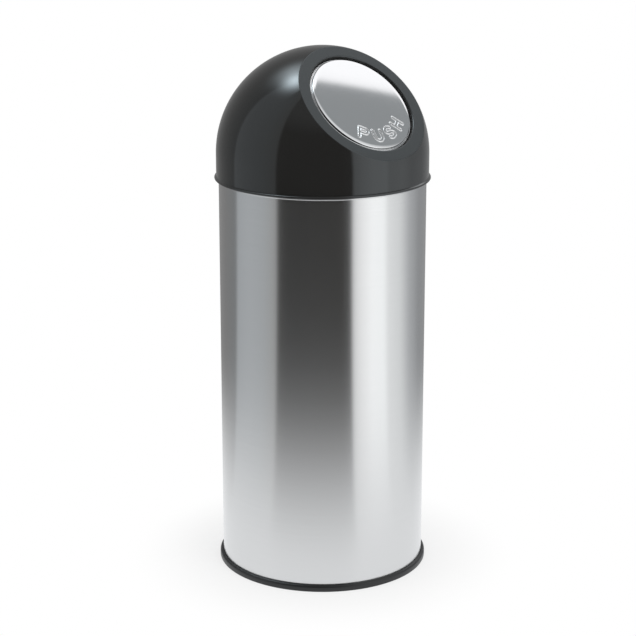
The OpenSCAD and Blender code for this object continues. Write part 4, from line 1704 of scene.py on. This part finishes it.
def level_angle(n, x, y, azimuth):
    """Angle between the level direction (x, y) and the camera's, in radians."""
    right, towards = camera_axes(azimuth)
    across = x * right[0] + y * right[1]
    near = x * towards[0] + y * towards[1]
    return n.math("ARCTAN2", across, near)


def wall_colour(n, angle):
    """Colour of the studio's walls at a level angle from the camera, in radians."""
    # Angles in degrees, and the colour there
    stops = [
        (-180, (0.3, 0.3, 0.3)), (-134, (0.24, 0.24, 0.24)), (-108.5, (0.225, 0.235, 0.24)),
        (-105.5, (0.45, 0.475, 0.495)), (-85, (0.48, 0.505, 0.525)), (-67, (0.45, 0.475, 0.49)),
        (-51, (0.4, 0.405, 0.405)), (-48.5, (0.05, 0.05, 0.048)), (-38, (0.032, 0.032, 0.031)),
        (20, (0.031, 0.03, 0.028)), (30, (0.065, 0.065, 0.065)), (33, (0.86, 0.87, 0.875)),
        (42, (1.08, 1.09, 1.1)), (54, (1.25, 1.27, 1.28)), (70, (1.22, 1.25, 1.26)),
        (74, (0.98, 1.0, 1.01)), (92, (0.86, 0.88, 0.89)), (108, (0.52, 0.535, 0.55)),
        (130, (0.33, 0.34, 0.35)), (180, (0.3, 0.3, 0.3)),
    ]
    return n.ramp(angle / TAU + 0.5, [(turn / 360 + 0.5, colour) for turn, colour in stops])


def lamp_glow(n, x, y, z, azimuth, angle, rise, spread):
    """Soft round glow at an angle from the camera and a rise, all in degrees."""
    right, towards = camera_axes(azimuth)
    angle, rise = math.radians(angle), math.radians(rise)
    level = math.cos(rise)
    aim = [
        level * (math.sin(angle) * right[i] + math.cos(angle) * towards[i]) for i in (0, 1)
    ] + [math.sin(rise)]
    near = x * aim[0] + y * aim[1] + z * aim[2]
    off = n.math("ARCCOSINE", n.math("MINIMUM", near, 1)) * (DEGREES / spread)
    return n.math("POWER", math.e, off * off * -1)


def make_world(sizes):
    """Even light on everything, and a studio of panels and flags for what shines."""
    world = bpy.data.worlds.new("studio")
    bpy.context.scene.world = world
    n = empty_tree(world)
    x, y, z = n.parts(n.add("ShaderNodeTexCoord", out="Generated"))
    angle = level_angle(n, x, y, sizes.azimuth)
    turn, rise = angle * DEGREES, z.math("ARCSINE") * DEGREES

    # Walls under a faint haze, a high panel behind on the right, and the ceiling
    haze = n.smooth(rise, 20, 52) * 0.2
    walls = n.mix(1, wall_colour(n, angle), n.vector(haze, haze, haze), "LIGHTEN")
    panel = n.mix(
        n.smooth(turn + rise * 0.44, 141.3, 142.5), (0.345, 0.365, 0.375), (1.36, 1.365, 1.385)
    )
    high = n.smooth(rise, 16, 26) * n.smooth(turn, 98, 110) * n.smooth(turn, 172, 150)
    lit = n.mix(n.smooth(rise, 70, 82), n.mix(high, walls, panel), (0.62, 0.63, 0.64))

    # The lamp over the back on the left, kept off the front
    main = lamp_glow(n, x, y, z, sizes.azimuth, -113, 68, 9.5) * 8.5
    spill = lamp_glow(n, x, y, z, sizes.azimuth, -139, 60, 12) * 2.6
    glow = (main + spill) * n.smooth((turn - 15).math("ABSOLUTE"), 86, 90)
    studio = n.mix(1, lit, n.vector(glow * 0.86, glow * 0.95, glow), "ADD")

    # White behind the bin, even light on it, and the studio in its reflections
    ray = n.add("ShaderNodeLightPath", out="Is Camera Ray")
    white = n.math("MAXIMUM", ray, n.other(ray, "Is Transmission Ray"))
    seen = n.mix(white, (sizes.ambient,) * 3, (1, 1, 1))
    colour = n.mix(n.other(ray, "Is Glossy Ray"), seen, studio)
    back = n.add("ShaderNodeBackground", {}, {"Color": colour, "Strength": 1})
    n.add("ShaderNodeOutputWorld", {}, {"Surface": back})


def floor_finish(sizes, colour):
    """Pale studio floor that runs out to white; what shines sees it glow with painted light, white
    near the bin and the studio's walls' colours further out.
    """
    material = bpy.data.materials.new("studio_floor")
    n = empty_tree(material)
    x, y = n.parts(n.place())[:2]
    away = n.math("SQRT", x * x + y * y)
    paper = n.shaded(colour, 0.97 + n.noise(35, 3, 0.5) * 0.03)
    matt = n.add("ShaderNodeBsdfDiffuse", {}, {"Color": paper})
    white = n.add("ShaderNodeEmission", {}, {"Color": (1, 1, 1, 1), "Strength": 1})
    fade = n.smooth(away, 145 * MM, 300 * MM, 0.7, 1)
    seen = n.add("ShaderNodeMixShader", {}, {0: fade, 1: matt, 2: white})
    # Painted light for glossy rays: the floor glows white out from the bin, then in the studio
    # walls' colours
    walls = wall_colour(n, level_angle(n, x, y, sizes.azimuth))
    far = n.smooth(away, sizes.floor_white * 0.18, sizes.floor_white)
    shine = n.add("ShaderNodeEmission", {}, {
        "Color": n.mix(far, (0.945, 0.96, 0.975), walls), "Strength": 1,
    })
    ray = n.add("ShaderNodeLightPath", out="Is Glossy Ray")
    both = n.add("ShaderNodeMixShader", {}, {0: ray, 1: seen, 2: shine})
    n.add("ShaderNodeOutputMaterial", {}, {"Surface": both})
    return material


def soft_light(name, power, place, aim, size):
    """A round area lamp that no shiny surface mirrors."""
    data = bpy.data.lights.new(name, "AREA")
    data.energy = power
    data.shape = "DISK"
    data.size = size
    lamp = in_scene(name, data)
    lamp.location = place
    lamp.rotation_euler = (Vector(aim) - Vector(place)).to_track_quat("-Z", "Y").to_euler()
    lamp.visible_glossy = False


def make_studio(sizes, colour):
    """Floor, light and camera."""
    # The floor is a disc of rings, whose faces point up and grow outwards
    around, ground = 64, -0.05 * MM
    vertices = [(0, 0, ground)]
    faces = [(0, 1 + i, 1 + (i + 1) % around) for i in range(around)]
    for j, radius in enumerate((0.25, 0.8, 2, 8, 30)):
        vertices += [(x, y, ground) for x, y in circle(radius, around)]
        if j:
            faces += band(1 + j * around, 1 + (j - 1) * around, around)
    floor = new_object("studio_floor", vertices, faces)
    floor.data.materials.append(floor_finish(sizes, colour))

    make_world(sizes)
    right, towards = camera_axes(sizes.azimuth)

    def spot(across, near, high):
        """A place given from the camera: to its right, towards it and up."""
        return (
            right[0] * across + towards[0] * near, right[1] * across + towards[1] * near, high
        )

    middle = (0, 0, 0.4)
    soft_light("key", sizes.key, spot(1.3, 1.6, 2.6), middle, size=1.6)
    soft_light("fill", sizes.fill, spot(-2.2, 0.8, 1.4), middle, size=1.4)

    scene = bpy.context.scene
    scene.view_settings.view_transform = "Standard"
    data = bpy.data.cameras.new("camera")
    data.lens = sizes.lens
    data.clip_start, data.clip_end = 0.05, 100
    camera = in_scene("camera", data)
    level = math.cos(sizes.elevation)
    back = Vector((towards[0] * level, towards[1] * level, math.sin(sizes.elevation)))
    aim = Vector((right[0] * sizes.aside, right[1] * sizes.aside, sizes.aim))
    camera.location = aim + back * sizes.distance
    camera.rotation_euler = back.to_track_quat("Z", "Y").to_euler()
    scene.camera = camera


# ---------- operators and panel ----------


class MakeBody(bpy.types.Operator):
    """Makes the body, its floor and its base ring"""

    bl_idname = "dome_bin.body"
    bl_label = "Body and Base Ring"

    def execute(self, context):
        settings = context.scene.dome_bin
        make_body(settings.body)
        make_base_ring(settings.body, settings.fasteners)
        return {"FINISHED"}


class MakeFasteners(bpy.types.Operator):
    """Makes the screws and nuts of the base"""

    bl_idname = "dome_bin.fasteners"
    bl_label = "Screws and Nuts"

    def execute(self, context):
        make_fasteners(context.scene.dome_bin.fasteners)
        return {"FINISHED"}


class MakeDome(bpy.types.Operator):
    """Makes the dome lid, its trim and its collar"""

    bl_idname = "dome_bin.dome"
    bl_label = "Dome Lid"

    def execute(self, context):
        make_dome(context.scene.dome_bin.dome)
        return {"FINISHED"}


class MakeFlap(bpy.types.Operator):
    """Makes the push flap"""

    bl_idname = "dome_bin.flap"
    bl_label = "Push Flap"

    def execute(self, context):
        settings = context.scene.dome_bin
        make_flap(settings.flap, settings.hinge, settings.dome)
        return {"FINISHED"}


class MakeHinge(bpy.types.Operator):
    """Makes the flap's hinge and springs"""

    bl_idname = "dome_bin.hinge"
    bl_label = "Flap Hinge"

    def execute(self, context):
        settings = context.scene.dome_bin
        make_axle(settings.hinge, settings.dome)
        make_brackets(settings.hinge, settings.dome)
        make_studs(settings.hinge, settings.dome, settings.fasteners)
        make_springs(settings.hinge, settings.dome)
        return {"FINISHED"}


class MakeLiner(bpy.types.Operator):
    """Makes the inner liner"""

    bl_idname = "dome_bin.liner"
    bl_label = "Inner Liner"

    def execute(self, context):
        make_liner(context.scene.dome_bin.liner)
        return {"FINISHED"}


class MakeHandle(bpy.types.Operator):
    """Makes the liner's handle, lugs and rivets"""

    bl_idname = "dome_bin.handle"
    bl_label = "Liner Handle"

    def execute(self, context):
        make_handle(context.scene.dome_bin.liner)
        return {"FINISHED"}


class MakeStudio(bpy.types.Operator):
    """Makes the floor, the light and the camera"""

    bl_idname = "dome_bin.studio"
    bl_label = "Studio"

    def execute(self, context):
        settings = context.scene.dome_bin
        make_studio(settings.studio, settings.colours.floor)
        return {"FINISHED"}


steps = (MakeBody, MakeFasteners, MakeDome, MakeFlap, MakeHinge, MakeLiner, MakeHandle, MakeStudio)
groups = ("body", "fasteners", "dome", "flap", "hinge", "liner", "colours", "studio")


class BinPanel(bpy.types.Panel):
    """Lists the steps and their sizes"""

    bl_idname = "VIEW3D_PT_dome_bin"
    bl_label = "Dome Top Bin"
    bl_space_type = "VIEW_3D"
    bl_region_type = "UI"
    bl_category = "Dome Bin"

    def draw(self, context):
        for step in steps:
            self.layout.operator(step.bl_idname)
        for group in groups:
            listed = self.layout.box()
            listed.label(text=group.capitalize())
            sizes = getattr(context.scene.dome_bin, group)
            for name in sizes.__annotations__:
                listed.prop(sizes, name)


classes = (
    BodySizes, FastenerSizes, DomeSizes, FlapSizes, HingeSizes, LinerSizes, Colours, StudioSizes,
    BinSettings, *steps, BinPanel,
)


def register():
    for made in classes:
        bpy.utils.register_class(made)
    bpy.types.Scene.dome_bin = PointerProperty(type=BinSettings)


def unregister():
    del bpy.types.Scene.dome_bin
    for made in reversed(classes):
        bpy.utils.unregister_class(made)


def main():
    register()
    for step in steps:
        group, name = step.bl_idname.split(".")
        getattr(getattr(bpy.ops, group), name)()
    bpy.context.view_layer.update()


if __name__ == "__main__":
    main()
